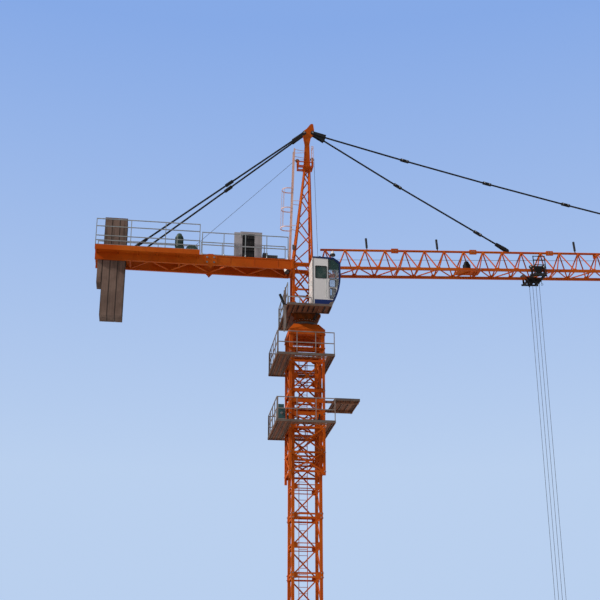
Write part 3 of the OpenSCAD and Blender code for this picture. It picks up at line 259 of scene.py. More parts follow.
@dataclass(frozen=True)
class PaintFinish:
    """Weathered paint: uneven fading, dust on upper faces, runs of dirt, chips down to rust, and, where two levels
    are given, a painted shadow band near the slewing axis.
    """

    name: str
    colour: Colour
    faded: Colour
    dirt: Colour = (0.09, 0.055, 0.035)
    rust: Colour = (0.13, 0.045, 0.018)
    dust: Colour = (0.46, 0.36, 0.26)
    rough: float = 0.42
    dirt_share: float = 0.35
    chip_share: float = 0.5
    dust_share: float = 0.35
    shine: float = 0.5
    # Levels of a painted shadow band: the cab platform's shade on the turntable near the slewing axis; (0, 0)
    # paints none.
    darkening: tuple[float, float] = (0.0, 0.0)
    black_above: float = 0.0

    def material(self) -> bpy.types.Material:
        """Builds the material."""
        g = Graph("fin_" + self.name)
        fade = g.noise(0.9, 5).step(0.35, 0.68)
        colour = g.blend(fade, self.colour, self.faded)
        # Painted shadow of the cab's platform on the turntable.
        if self.darkening[1] > 0:
            colour = self.shaded_under_platform(g, colour)
        if self.black_above > 0:
            level = g.axis(Axis.Z) - g.axis(Axis.X) * math.tan(SIZES.jib_tilt)
            colour = g.blend(level.step(self.black_above, self.black_above + 0.003), colour, (0.011, 0.012, 0.014))
        runs = g.noise(0.10, 5, (1.0, 1.0, 0.16)).step(0.54, 0.74)
        stain = g.noise(0.45, 6).step(0.5, 0.72)
        dirt = runs * stain * self.dirt_share
        colour = g.blend(dirt, colour, self.dirt)
        top = g.facing(Axis.Z).step(0.35, 0.95)
        dust = top * g.noise(0.06, 6).step(0.30, 0.72) * self.dust_share
        colour = g.blend(dust, colour, self.dust)
        grain = g.noise(0.012, 5)
        patch = g.noise(0.35, 4).step(0.44, 0.66)
        chips = (grain + patch * 0.18).step(0.72, 0.76) * self.chip_share
        colour = g.blend(chips, colour, self.rust)
        rough = dirt * 0.25 + dust * 0.3 + chips * 0.35 + g.noise(0.05, 3) * 0.16 + (self.rough - 0.08)
        g.surface(colour, rough)
        g.shader.inputs["Specular IOR Level"].default_value = self.shine
        height = g.noise(0.004, 3) * 0.35 - chips * 1.4 + g.noise(0.09, 3) * 0.8
        g.bump(height, 0.0006, 0.6)
        return g.material

    def shaded_under_platform(self, g: Graph, colour: Signal) -> Signal:
        """Darkens a colour between two levels, close to the slewing axis: a painted shadow of the cab's platform on
        the turntable, broken up by noise.

        Args:
            g: the material's graph.
            colour: the colour before the shadow is painted.

        Returns:
            The colour with the painted shadow.
        """
        low, high = self.darkening
        x, y, z = g.axis(Axis.X), g.axis(Axis.Y), g.axis(Axis.Z)
        band = z.step(low - 0.06, low + 0.04) * (1.0 - z.step(high, high + 0.03))
        near = 1.0 - g.math("SQRT", x * x + y * y).step(0.48, 0.60)
        # Blotchy noise that breaks up the painted shadow.
        shadow_mottle = g.noise(0.08, 6, (1.0, 1.0, 0.5)).step(0.25, 0.6) * 0.35 + 0.55
        return g.blend(band * near * shadow_mottle, colour, (0.055, 0.018, 0.006))


@dataclass(frozen=True)
class SteelFinish:
    """Bare or galvanised steel, with spangle, dull patches and rust in places."""

    name: str
    colour: Colour
    dull: Colour
    rough: float = 0.5
    metal: float = 0.75
    rust: Colour = (0.15, 0.06, 0.025)
    rust_share: float = 0.25

    def material(self) -> bpy.types.Material:
        """Builds the material."""
        g = Graph("fin_" + self.name)
        spangle = g.cells(0.02)
        patch = g.noise(0.25, 6).step(0.35, 0.7)
        colour = g.blend(patch * 0.8 + spangle * 0.25, self.colour, self.dull)
        rust = g.noise(0.06, 7).step(0.60, 0.72) * g.noise(0.5, 3).step(0.4, 0.65) * self.rust_share
        colour = g.blend(rust, colour, self.rust)
        rough = g.noise(0.03, 4) * 0.22 + rust * 0.4 + (self.rough - 0.1)
        g.surface(colour, rough, self.metal - rust * self.metal)
        g.bump(g.noise(0.006, 4) * 0.6 + rust * 0.9, 0.0005, 0.5)
        return g.material


@dataclass(frozen=True)
class PlankFinish:
    """Worn floor planks laid side by side, with gaps, grain and stains."""

    name: str
    along: Axis
    width: float = 0.12
    colour: Colour = (0.200, 0.068, 0.030)
    pale: Colour = (0.33, 0.140, 0.074)
    dark: Colour = (0.085, 0.032, 0.017)

    def material(self) -> bpy.types.Material:
        """Builds the material."""
        g = Graph("fin_" + self.name)
        across = Axis.Y if self.along is Axis.X else Axis.X
        row = g.axis(across) / self.width
        board = g.math("FLOOR", row)
        inside = row - board
        shade = g.math("FRACT", g.math("SINE", board * 12.9898) * 43.758)
        grain_scale = (0.12, 1.0, 1.0) if self.along is Axis.X else (1.0, 0.12, 1.0)
        grain = g.noise(0.02, 6, grain_scale)
        colour = g.blend(shade * 0.75 + grain * 0.35, self.colour, self.pale)
        streak = g.noise(0.008, 3, grain_scale).step(0.5, 0.75)
        colour = g.blend(streak * 0.45, colour, self.dark)
        stain = g.noise(0.22, 6).step(0.5, 0.68)
        colour = g.blend(stain * 0.5, colour, self.dark)
        gap = g.math("MINIMUM", inside, 1.0 - inside).step(0.02, 0.055)
        colour = g.blend(gap, (0.012, 0.009, 0.007), colour)
        g.surface(colour, g.noise(0.05, 4) * 0.2 + 0.68)
        g.bump(gap * 1.6 + grain * 0.5 + shade * 0.5, 0.003, 0.7)
        return g.material


@dataclass(frozen=True)
class ConcreteFinish:
    """Cast concrete with upright board marks, dirty joints, air holes and runs."""

    name: str
    colour: Colour = (0.120, 0.070, 0.052)
    pale: Colour = (0.215, 0.135, 0.103)
    dark: Colour = (0.026, 0.015, 0.011)
    joints: tuple[float, ...] = (-4.672, -4.864, -5.056, -5.248)
    joint_half: float = 0.013

    def material(self) -> bpy.types.Material:
        """Builds the material."""
        g = Graph("fin_" + self.name)
        cloud = g.noise(0.5, 7)
        colour = g.blend(cloud.step(0.3, 0.72), self.colour, self.pale)
        runs = g.noise(0.09, 6, (1.0, 1.0, 0.1)).step(0.5, 0.72)
        colour = g.blend(runs * 0.6, colour, self.dark)
        board = g.math("FRACT", (g.axis(Axis.X) - self.joints[0]) / 0.064)
        seam = g.math("MINIMUM", board, 1.0 - board).step(0.0, 0.06)
        pores = g.cells(0.035).step(0.10, 0.2)
        colour = g.blend(seam * 0.35 + 0.65, self.dark, colour)
        wander = g.axis(Axis.X) + g.noise(0.3, 4) * 0.012 - 0.006
        for joint in self.joints:
            gap = 1.0 - g.math("ABSOLUTE", wander - joint).step(self.joint_half * 0.5, self.joint_half * 1.5)
            colour = g.blend(gap * 0.85, colour, self.dark)
        colour = g.blend(pores * 0.35 + 0.65, self.dark, colour)
        g.surface(colour, g.noise(0.04, 4) * 0.15 + 0.78)
        g.bump(pores * 1.0 + seam * 0.6 + g.noise(0.02, 6) * 0.8, 0.004, 0.8)
        return g.material


@dataclass(frozen=True)
class GlassFinish:
    """Window glass: dark tinted panes at the rear and top, clear ones in front, with a film of dust."""

    name: str
    tint: Colour = (0.014, 0.050, 0.046)
    clear: Colour = (0.30, 0.38, 0.42)
    alpha: float = 0.88
    clear_alpha: float = 0.14
    rough: float = 0.06
    tinted_to_x: float = 0.455
    tinted_from_z: float = 11.90
    tinted_to_y: float = -0.60

    def material(self) -> bpy.types.Material:
        """Builds the material."""
        g = Graph("fin_" + self.name)
        film = g.noise(0.25, 6).step(0.45, 0.75)
        rear = 1.0 - g.axis(Axis.X).step(self.tinted_to_x, self.tinted_to_x + 0.02)
        high = g.axis(Axis.Z).step(self.tinted_from_z, self.tinted_from_z + 0.05)
        high = high * (1.0 - g.axis(Axis.Y).step(self.tinted_to_y, self.tinted_to_y + 0.05))
        dark = g.math("MAXIMUM", rear, high)
        colour = g.blend(film * 0.25, g.blend(dark, self.clear, self.tint), (0.24, 0.23, 0.20))
        g.surface(colour, film * 0.22 + self.rough)
        alpha = dark * (self.alpha - self.clear_alpha) + (film * 0.10 + self.clear_alpha)
        g.feed(g.shader.inputs["Alpha"], alpha)
        g.shader.inputs["IOR"].default_value = 1.5
        g.material.surface_render_method = "BLENDED"
        return g.material


@dataclass(frozen=True)
class RubberFinish:
    """Rubber or vinyl with a fine grain."""

    name: str
    colour: Colour = (0.018, 0.018, 0.019)
    rough: float = 0.62
    grain: float = 0.003

    def material(self) -> bpy.types.Material:
        """Builds the material."""
        g = Graph("fin_" + self.name)
        worn = g.noise(0.08, 5).step(0.45, 0.72)
        pale = tuple(min(1.0, c * 2.2 + 0.01) for c in self.colour)
        g.surface(g.blend(worn * 0.5, self.colour, pale), g.noise(0.03, 3) * 0.2 + self.rough - 0.1)
        g.bump(g.cells(self.grain), 0.0004, 0.5)
        return g.material


@dataclass(frozen=True)
class RopeFinish:
    """Wire rope: strands that wind round the line, dark with grease."""

    name: str
    colour: Colour = (0.035, 0.034, 0.034)
    bright: Colour = (0.20, 0.19, 0.18)

    def material(self) -> bpy.types.Material:
        """Builds the material."""
        g = Graph("fin_" + self.name)
        lay = (g.axis(Axis.X) + g.axis(Axis.Y) * 0.7 + g.axis(Axis.Z)) * 420.0
        strand = g.math("SINE", lay) * 0.5 + 0.5
        darkening = g.noise(0.12, 5).step(0.35, 0.65)
        colour = g.blend(strand * (1.0 - darkening * 0.8) * 0.6, self.colour, self.bright)
        g.surface(colour, darkening * 0.2 + 0.38, 0.55)
        g.bump(strand, 0.0008, 0.7)
        return g.material


@dataclass(frozen=True)
class LampFinish:
    """A lamp's lens: ribbed glass over a dark hollow."""

    name: str
    colour: Colour = (0.045, 0.048, 0.052)

    def material(self) -> bpy.types.Material:
        """Builds the material."""
        g = Graph("fin_" + self.name)
        rib = g.math("SINE", g.axis(Axis.X) * 500.0) * 0.5 + 0.5
        colour = g.blend(g.noise(0.04, 4) * 0.4, self.colour, (0.14, 0.14, 0.13))
        g.surface(colour, rib * 0.1 + 0.12)
        g.bump(rib, 0.0008, 0.6)
        return g.material


class Finish(Enum):
    """Every finish of the crane, each made once."""

    # The crane paint's two levels, 10.66 and 10.945, paint the cab platform's shadow on the turntable.
    CRANE = PaintFinish(
        "crane_paint", (0.47, 0.069, 0.0030), (0.56, 0.112, 0.0080), dirt=(0.07, 0.026, 0.010),
        dust=(0.42, 0.24, 0.11), rough=0.52, dust_share=0.14, shine=0.10, darkening=(10.66, 10.945),
    )
    JIB_WINCH = replace(CRANE, name="jib_winch_paint", darkening=(0.0, 0.0), black_above=12.2721)
    LADDER = PaintFinish("ladder_primer", (0.66, 0.36, 0.28), (0.74, 0.48, 0.40), rough=0.6, dirt_share=0.2)
    BLACK = PaintFinish(
        "black_steel", (0.010, 0.011, 0.013), (0.020, 0.020, 0.022), rough=0.5, chip_share=0.25, dust_share=0.06,
        shine=0.2
    )
    CAB = PaintFinish(
        "cab_white", (0.78, 0.74, 0.73), (0.70, 0.66, 0.65), rough=0.3, dirt_share=0.3, chip_share=0.2,
        dust_share=0.2
    )
    CAB_BLUE = PaintFinish(
        "cab_blue", (0.004, 0.014, 0.085), (0.007, 0.024, 0.125), rough=0.34, chip_share=0.2, dust_share=0.1,
        shine=0.3
    )
    HYDRAULIC = PaintFinish("hydraulic_paint", (0.018, 0.07, 0.08), (0.03, 0.10, 0.11))
    WINCH = PaintFinish("winch_green", (0.022, 0.055, 0.042), (0.04, 0.08, 0.065))
    CAB_GREY = PaintFinish("cab_grey", (0.13, 0.15, 0.135), (0.19, 0.205, 0.19), rough=0.35, dust_share=0.1)
    MOTOR = PaintFinish(
        "motor_grey", (0.030, 0.033, 0.038), (0.052, 0.056, 0.062), rough=0.5, dust_share=0.15, shine=0.2
    )
    CABINET = PaintFinish(
        "cabinet_grey", (0.33, 0.30, 0.31), (0.42, 0.38, 0.39), rough=0.45, chip_share=0.3, dirt_share=0.5
    )
    BLOCK = PaintFinish("block_orange", (0.62, 0.17, 0.02), (0.66, 0.25, 0.05))
    TROLLEY = PaintFinish(
        "trolley_black", (0.010, 0.009, 0.010), (0.024, 0.018, 0.016), rough=0.55, dust_share=0.05, shine=0.15
    )
    GALVANISED = SteelFinish("galvanised", (0.46, 0.48, 0.48), (0.30, 0.31, 0.31))
    CHANNEL = SteelFinish("channel_steel", (0.20, 0.150, 0.125), (0.12, 0.078, 0.062), rough=0.6, metal=0.3)
    RAIL = SteelFinish(
        "rail_steel", (0.30, 0.25, 0.235), (0.17, 0.120, 0.10), rough=0.65, metal=0.15, rust_share=0.6
    )
    WHEEL = SteelFinish("wheel_steel", (0.12, 0.12, 0.125), (0.28, 0.27, 0.26), rough=0.4)
    PIN = SteelFinish("pin_steel", (0.42, 0.41, 0.40), (0.22, 0.21, 0.20), rough=0.35, rust_share=0.5)
    PLANKS_X = PlankFinish("deck_planks", Axis.X)
    PLANKS_Y = PlankFinish("deck_planks_y", Axis.Y)
    CONCRETE = ConcreteFinish("concrete")
    GLASS = GlassFinish("cab_glass")
    GASKET = RubberFinish("gasket_rubber")
    VINYL = RubberFinish("seat_vinyl", (0.028, 0.028, 0.032), 0.5, 0.006)
    CABLE = RubberFinish("cable_rubber", (0.012, 0.012, 0.013), 0.5, 0.01)
    ROPE = RopeFinish("wire_rope")
    LENS = LampFinish("lamp_lens")

    def material(self) -> bpy.types.Material:
        """The finish's material, built at its first use."""
        return bpy.data.materials.get("fin_" + self.value.name) or self.value.material()


# ---------------------------------------------------------------- tools of the workshop


class Workshop:
    """Makes and finishes pieces with Blender's operators."""

    @staticmethod
    def clear() -> None:
        """Leaves nothing selected."""
        bpy.ops.object.select_all(action="DESELECT")
        bpy.context.view_layer.objects.active = None

    @staticmethod
    def pick(obj: Piece) -> None:
        """Selects one object alone."""
        Workshop.clear()
        obj.select_set(True)
        bpy.context.view_layer.objects.active = obj

    @staticmethod
    def settle(obj: Piece) -> Piece:
        """Puts an object's place, turn and size into its mesh."""
        Workshop.pick(obj)
        bpy.ops.object.transform_apply(location=True, rotation=True, scale=True)
        return obj

    @staticmethod
    def modify(obj: Piece, kind: str, **settings: object) -> Piece:
        """Adds a modifier with its settings and applies it."""
        Workshop.pick(obj)
        modifier = obj.modifiers.new(kind.lower(), kind)
        for key, value in settings.items():
            setattr(modifier, key, value)
        bpy.ops.object.modifier_apply(modifier=modifier.name)
        return obj

    @staticmethod
    def bevel(obj: Piece, width: float, segments: int = 1) -> Piece:
        """Rounds an object's sharp edges."""
        return Workshop.modify(
            obj, "BEVEL", width=width, segments=segments, limit_method="ANGLE", angle_limit=math.radians(40)
        )

    @staticmethod
    def block(low: Point, high: Point, bevel: float = 0.003) -> Piece:
        """A box between two corners, with its edges taken off.

        Args:
            low: the lowest corner.
            high: the highest corner.
            bevel: the width of the taken-off edge.

        Returns:
            The box.
        """
        Workshop.clear()
        size = [h - l for l, h in zip(low, high)]
        middle = [(h + l) / 2 for l, h in zip(low, high)]
        bpy.ops.mesh.primitive_cube_add(size=1.0, location=middle)
        obj = bpy.context.active_object
        obj.scale = size
        Workshop.settle(obj)
        return Workshop.bevel(obj, min(bevel, min(size) * 0.3))

    @staticmethod
    def tube(start: Point, end: Point, radius: float, sides: int = 10, bevel: float = 0.0) -> Piece:
        """A round bar from one point to another."""
        Workshop.clear()
        a, b = Vector(start), Vector(end)
        bpy.ops.mesh.primitive_cylinder_add(
            vertices=sides, radius=radius, depth=(b - a).length, location=(a + b) / 2
        )
        obj = bpy.context.active_object
        obj.rotation_euler = (b - a).to_track_quat("Z", "Y").to_euler()
        Workshop.settle(obj)
        if bevel > 0:
            Workshop.bevel(obj, bevel)
        Workshop.pick(obj)
        bpy.ops.object.shade_smooth_by_angle(angle=math.radians(50))
        return obj

    @staticmethod
    def plate(outline: Outline, thick: float, place: Matrix, bevel: float = 0.002) -> Piece:
        """A flat plate cut to an outline.

        Args:
            outline: its corners in its own plane, in order.
            thick: its thickness, half on each side of that plane.
            place: where its plane goes.
            bevel: the width of its taken-off edge.

        Returns:
            The plate.
        """
        Workshop.clear()
        bpy.ops.mesh.primitive_circle_add(vertices=len(outline), radius=1.0, fill_type="NGON")
        obj = bpy.context.active_object
        for vertex, (u, v) in zip(obj.data.vertices, outline):
            vertex.co = (u, v, 0.0)
        Workshop.modify(obj, "SOLIDIFY", thickness=thick, offset=0.0)
        if bevel > 0:
            Workshop.bevel(obj, min(bevel, thick * 0.3))
        obj.data.transform(place)
        Workshop.outward(obj)
        return obj

    @staticmethod
    def outward(obj: Piece) -> None:
        """Makes an object's faces point outwards."""
        Workshop.pick(obj)
        bpy.ops.object.mode_set(mode="EDIT")
        bpy.ops.mesh.select_all(action="SELECT")
        bpy.ops.mesh.remove_doubles(threshold=1e-6)
        bpy.ops.mesh.normals_make_consistent(inside=False)
        bpy.ops.object.mode_set(mode="OBJECT")

    @staticmethod
    def lathe(profile: Outline, place: Matrix, steps: int = 32) -> Piece:
        """A turned piece: a profile of radius and height, spun round its own Z.

        Args:
            profile: points of radius and height, from one end to the other.
            place: where the turned piece goes.
            steps: its number of sides.

        Returns:
            The turned piece.
        """
        Workshop.clear()
        bpy.ops.mesh.primitive_circle_add(vertices=len(profile), radius=1.0, fill_type="NOTHING")
        obj = bpy.context.active_object
        for vertex, (r, z) in zip(obj.data.vertices, profile):
            vertex.co = (r, 0.0, z)
        bpy.ops.object.mode_set(mode="EDIT")
        bpy.ops.mesh.select_all(action="SELECT")
        bpy.ops.mesh.spin(
            steps=steps, angle=math.tau, center=(0, 0, 0), axis=(0, 0, 1), use_auto_merge=True
        )
        bpy.ops.object.mode_set(mode="OBJECT")
        obj.data.transform(place)
        Workshop.outward(obj)
        bpy.ops.object.shade_smooth_by_angle(angle=math.radians(35))
        return obj

    @staticmethod
    def repeat(pattern: Piece, places: list[Matrix]) -> Piece:
        """Copies a pattern piece to every place and joins the copies into one object.

        Args:
            pattern: the piece, modelled at the origin. It is used up.
            places: where the copies go.

        Returns:
            The joined copies.
        """
        made = []
        for place in places:
            copy = pattern.copy()
            copy.data = pattern.data.copy()
            copy.data.transform(place)
            bpy.context.scene.collection.objects.link(copy)
            made.append(copy)
        bpy.data.objects.remove(pattern)
        return Workshop.join(made)

    @staticmethod
    def offset(points: tuple[tuple[float, float], ...], out: float) -> Outline:
        """Moves the sides of a convex outline out, or in where the distance is below zero.

        Args:
            points: the outline, counter-clockwise.
            out: how far each side moves.

        Returns:
            The new outline, with as many points.
        """
        moved, n = [], len(points)
        for i in range(n):
            before, at, after = (Vector(points[(i + k) % n]) for k in (-1, 0, 1))
            first, second = (at - before).normalized(), (after - at).normalized()
            normal = Vector((first.y, -first.x)) + Vector((second.y, -second.x))
            normal = normal.normalized() / max(0.2, normal.normalized().dot(Vector((first.y, -first.x))))
            moved.append(tuple(at + normal * out))
        return moved

    @staticmethod
    def softened(points: Outline, radius: float, steps: int = 4) -> Outline:
        """Rounds every corner of an outline.

        Args:
            points: the outline.
            radius: how far from a corner its curve starts.
            steps: how many pieces each curve has.

        Returns:
            The rounded outline.
        """
        curve, n = [], len(points)
        for i in range(n):
            before, at, after = (Vector(points[(i + k) % n]) for k in (-1, 0, 1))
            start = at + (before - at).normalized() * min(radius, (before - at).length * 0.45)
            end = at + (after - at).normalized() * min(radius, (after - at).length * 0.45)
            for k in range(steps + 1):
                t = k / steps
                curve.append(tuple(start * (1 - t) ** 2 + at * 2 * t * (1 - t) + end * t * t))
        return curve

    @staticmethod
    def ring(outer: Outline, inner: Outline, thick: float) -> Piece:
        """A flat ring between two outlines that have the same number of points."""
        loops = []
        for outline in (outer, inner):
            Workshop.clear()
            bpy.ops.mesh.primitive_circle_add(vertices=len(outline), radius=1.0, fill_type="NOTHING")
            obj = bpy.context.active_object
            for vertex, (u, v) in zip(obj.data.vertices, outline):
                vertex.co = (u, v, 0.0)
            loops.append(obj)
        obj = Workshop.join(loops)
        bpy.ops.object.mode_set(mode="EDIT")
        bpy.ops.mesh.select_all(action="SELECT")
        bpy.ops.mesh.bridge_edge_loops()
        bpy.ops.object.mode_set(mode="OBJECT")
        Workshop.modify(obj, "SOLIDIFY", thickness=thick, offset=0.0)
        Workshop.outward(obj)
        return obj

    @staticmethod
    def pipe(points: list[Point], radius: float, sides: int = 3) -> Piece:
        """A bent round bar through points.

        Args:
            points: the points of its middle line.
            radius: its radius.
            sides: how finely its section is rounded.

        Returns:
            The bar as a mesh.
        """
        Workshop.clear()
        data = bpy.data.curves.new("pipe", "CURVE")
        data.dimensions = "3D"
        data.bevel_depth = radius
        data.bevel_resolution = sides
        data.use_fill_caps = True
        line = data.splines.new("POLY")
        line.points.add(len(points) - 1)
        for point, place in zip(line.points, points):
            point.co = (*place, 1.0)
        obj = bpy.data.objects.new("pipe", data)
        bpy.context.scene.collection.objects.link(obj)
        Workshop.pick(obj)
        bpy.ops.object.convert(target="MESH")
        obj = bpy.context.active_object
        Workshop.outward(obj)
        bpy.ops.object.shade_smooth_by_angle(angle=math.radians(50))
        return obj

    @staticmethod
    def puff(obj: Piece, voxel: float, cap: float) -> Piece:
        """Stuffs a closed form with Blender's cloth under pressure.

        Args:
            obj: the form, a little smaller than the pad is to be.
            voxel: the size of the remeshed faces.
            cap: how far a point may move along any axis.

        Returns:
            The stuffed form, subdivided once.
        """
        Workshop.modify(obj, "REMESH", mode="VOXEL", voxel_size=voxel)
        rest = [vertex.co.copy() for vertex in obj.data.vertices]
        Workshop.pick(obj)
        cloth = obj.modifiers.new("stuffing", "CLOTH")
        cloth.settings.use_pressure = True
        cloth.settings.uniform_pressure_force = 4.0
        cloth.settings.effector_weights.gravity = 0.0
        cloth.settings.quality = 5
        for frame_number in range(1, 21):
            bpy.context.scene.frame_set(frame_number)
        bpy.ops.object.modifier_apply(modifier=cloth.name)
        bpy.context.scene.frame_set(1)
        for vertex, start in zip(obj.data.vertices, rest):
            move = vertex.co - start
            vertex.co = start + Vector([min(max(value, -cap), cap) for value in move])
        Workshop.modify(obj, "SMOOTH", factor=0.5, iterations=4)
        Workshop.modify(obj, "SUBSURF", levels=1, render_levels=1)
        bpy.ops.object.shade_smooth()
        return obj

    @staticmethod
    def join(parts: list[Piece]) -> Piece:
        """Joins objects into one."""
        Workshop.clear()
        for part in parts:
            part.select_set(True)
        bpy.context.view_layer.objects.active = parts[0]
        if len(parts) > 1:
            bpy.ops.object.join()
        return parts[0]

    @staticmethod
    def fit(made: Piece | list[Piece], name: str, finish: Finish, slot: str, body: Body = Body.UPPER) -> Piece:
        """Names a finished piece, gives it its finish and lets it ride on a body.

        Args:
            made: the piece, or the parts that are joined into it, with their places in their meshes.
            name: its name.
            finish: its finish.
            slot: the record's material slot that it belongs to; not used.
            body: the body that it moves with.

        Returns:
            The piece.
        """
        obj = Workshop.join(made) if isinstance(made, list) else made
        obj.name = name
        obj.data.name = name
        obj.data.materials.clear()
        obj.data.materials.append(finish.material())
        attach(obj, body.value)
        log.info("%s: %d faces on %s", name, len(obj.data.polygons), body.value)
        return obj

    @staticmethod
    def spread(
        pattern: Piece, places: list[Matrix], name: str, finish: Finish, slot: str, body: Body = Body.UPPER
    ) -> Piece:
        """Copies a pattern to every place and fits the copies as one piece."""
        return Workshop.fit(Workshop.repeat(pattern, places), name, finish, slot, body)

    @staticmethod
    def bolt(radius: float, head: float, shank: float) -> Piece:
        """A hexagon bolt with a washer, its head up along Z from the plane z = 0."""
        washer = Workshop.tube((0, 0, 0), (0, 0, head * 0.22), radius * 1.25, 12)
        nut = Workshop.tube((0, 0, head * 0.2), (0, 0, head), radius, 6, head * 0.12)
        tip = Workshop.tube((0, 0, head * 0.9), (0, 0, head + shank), radius * 0.5, 8)
        return Workshop.join([washer, nut, tip])


def turned(at: Point, toward: Point) -> Matrix:
    """Places a pattern at a point with its Z axis along a direction.

    Args:
        at: the point.
        toward: the direction of the pattern's Z axis.

    Returns:
        The placing matrix.
    """
    turn = Vector(toward).to_track_quat("Z", "Y").to_matrix().to_4x4()
    return Matrix.Translation(at) @ turn


# ---------------------------------------------------------------- sizes shared with the frame


@dataclass(frozen=True)
class CraneSizes:
    """Main sizes of the crane, in metres, as in the frame's source."""

    base_h: float = 0.15
    section_h: float = 1.4
    mast_top: float = 9.95
    cage_w: float = 0.90
    upper_deck: float = 9.66
    lower_deck: float = 7.95
    deck_half: float = 0.925
    deck_back: float = 0.825
    deck_front: float = 0.625
    grating_w: float = 0.28
    ring_z: float = 10.65
    turn_z: float = 10.7503
    platform_z: float = 10.9303
    platform_top: float = 10.9703
    head_lower_top: float = 12.3303
    taper_top: float = 15.2803
    jib_x: float = 0.305
    jib_z: float = 12.25
    jib_tilt: float = math.radians(2.6)
    bay: float = 0.545
    section_l: float = 2.18
    jib_sections: int = 9
    counter_z: float = 12.15
    counter_top: float = 12.425
    walk_start: float = 2.80

    def jib(self) -> Matrix:
        """The jib's own frame: x along its lower chords, z square to them."""
        return Matrix.Translation((self.jib_x, 0, self.jib_z)) @ Matrix.Rotation(-self.jib_tilt, 4, "Y")


SIZES = CraneSizes()


# ---------------------------------------------------------------- the frame's own solids


@dataclass
class FrameDress:
    """Gives every solid of the frame its finish."""

    finishes: dict[str, Finish] = field(
        default_factory=lambda: {
            "crane_paint": Finish.CRANE,
            "deck_planks": Finish.PLANKS_X,
            "galvanised": Finish.GALVANISED,
            "black_steel": Finish.BLACK,
            "ladder_primer": Finish.LADDER,
            "hydraulic_paint": Finish.HYDRAULIC,
            "motor_grey": Finish.MOTOR,
            "cab_white": Finish.CAB,
            "cab_glass": Finish.GLASS,
            "seat_vinyl": Finish.VINYL,
            "winch_green": Finish.WINCH,
            "cabinet_grey": Finish.CABINET,
            "concrete": Finish.CONCRETE,
            "trolley_black": Finish.TROLLEY,
            "wheel_steel": Finish.WHEEL,
            "block_orange": Finish.BLOCK,
        }
    )
    special: dict[str, Finish] = field(
        default_factory=lambda: {
            "hoist_ropes": Finish.ROPE,
            "rope_falls": Finish.ROPE,
            "feed_platform": Finish.PLANKS_Y,
            "upper_deck": Finish.PLANKS_Y,
            "lower_deck": Finish.PLANKS_Y,
            "deck_rails": Finish.RAIL,
            "access_ladder": Finish.RAIL,
            "trolley_winch": Finish.JIB_WINCH,
        }
    )

    def dress(self, frame: dict) -> None:
        """Assigns the finishes to the nodes' material slots.
        """
        slots = {part["node"]: part["material_slot"] for part in frame["record"]["subparts"]}
        for name, obj in frame["nodes"].items():
            finish = self.special.get(name) or self.finishes[slots[name]]
            obj.data.materials.clear()
            obj.data.materials.append(finish.material())
            log.info("frame solid %s: %s", name, finish.value.name)


# ---------------------------------------------------------------- mast and climbing cage


def lattice_plates(
    size: tuple[float, float], cuts: tuple[float, float], place: tuple[float, float], levels: list[float], name: str
) -> Piece:
    """Node plates with cut corners, beside both legs on all four faces of the mast or its cage.

    Args:
        size: the plates' width and height.
        cuts: the shares of the width and the height at which the cut corners start.
        place: how far the plates stand from the middle of the near face, and that face's y.
        levels: their heights.
        name: the piece's name.

    Returns:
        The plates as one piece.
    """
    (w, h), (a, b), (inner, face_y) = size, cuts, place
    outline = [(0, -h / 2), (w * a, -h / 2), (w, -h * b), (w, h * b), (w * a, h / 2), (0, h / 2)]
    places = []
    for level in levels:
        for turn in range(4):
            for side in SIDES:
                mirror = HALF_TURN if side > 0 else HERE
                at = Matrix.Translation((side * inner, face_y, level))
                places.append(Matrix.Rotation(turn * math.pi / 2, 4, "Z") @ at @ mirror @ UPRIGHT)
    plate = Workshop.plate(outline, NODE_PLATE_T, HERE)
    return Workshop.spread(plate, places, name, Finish.CRANE, "crane_paint", Body.TOWER)


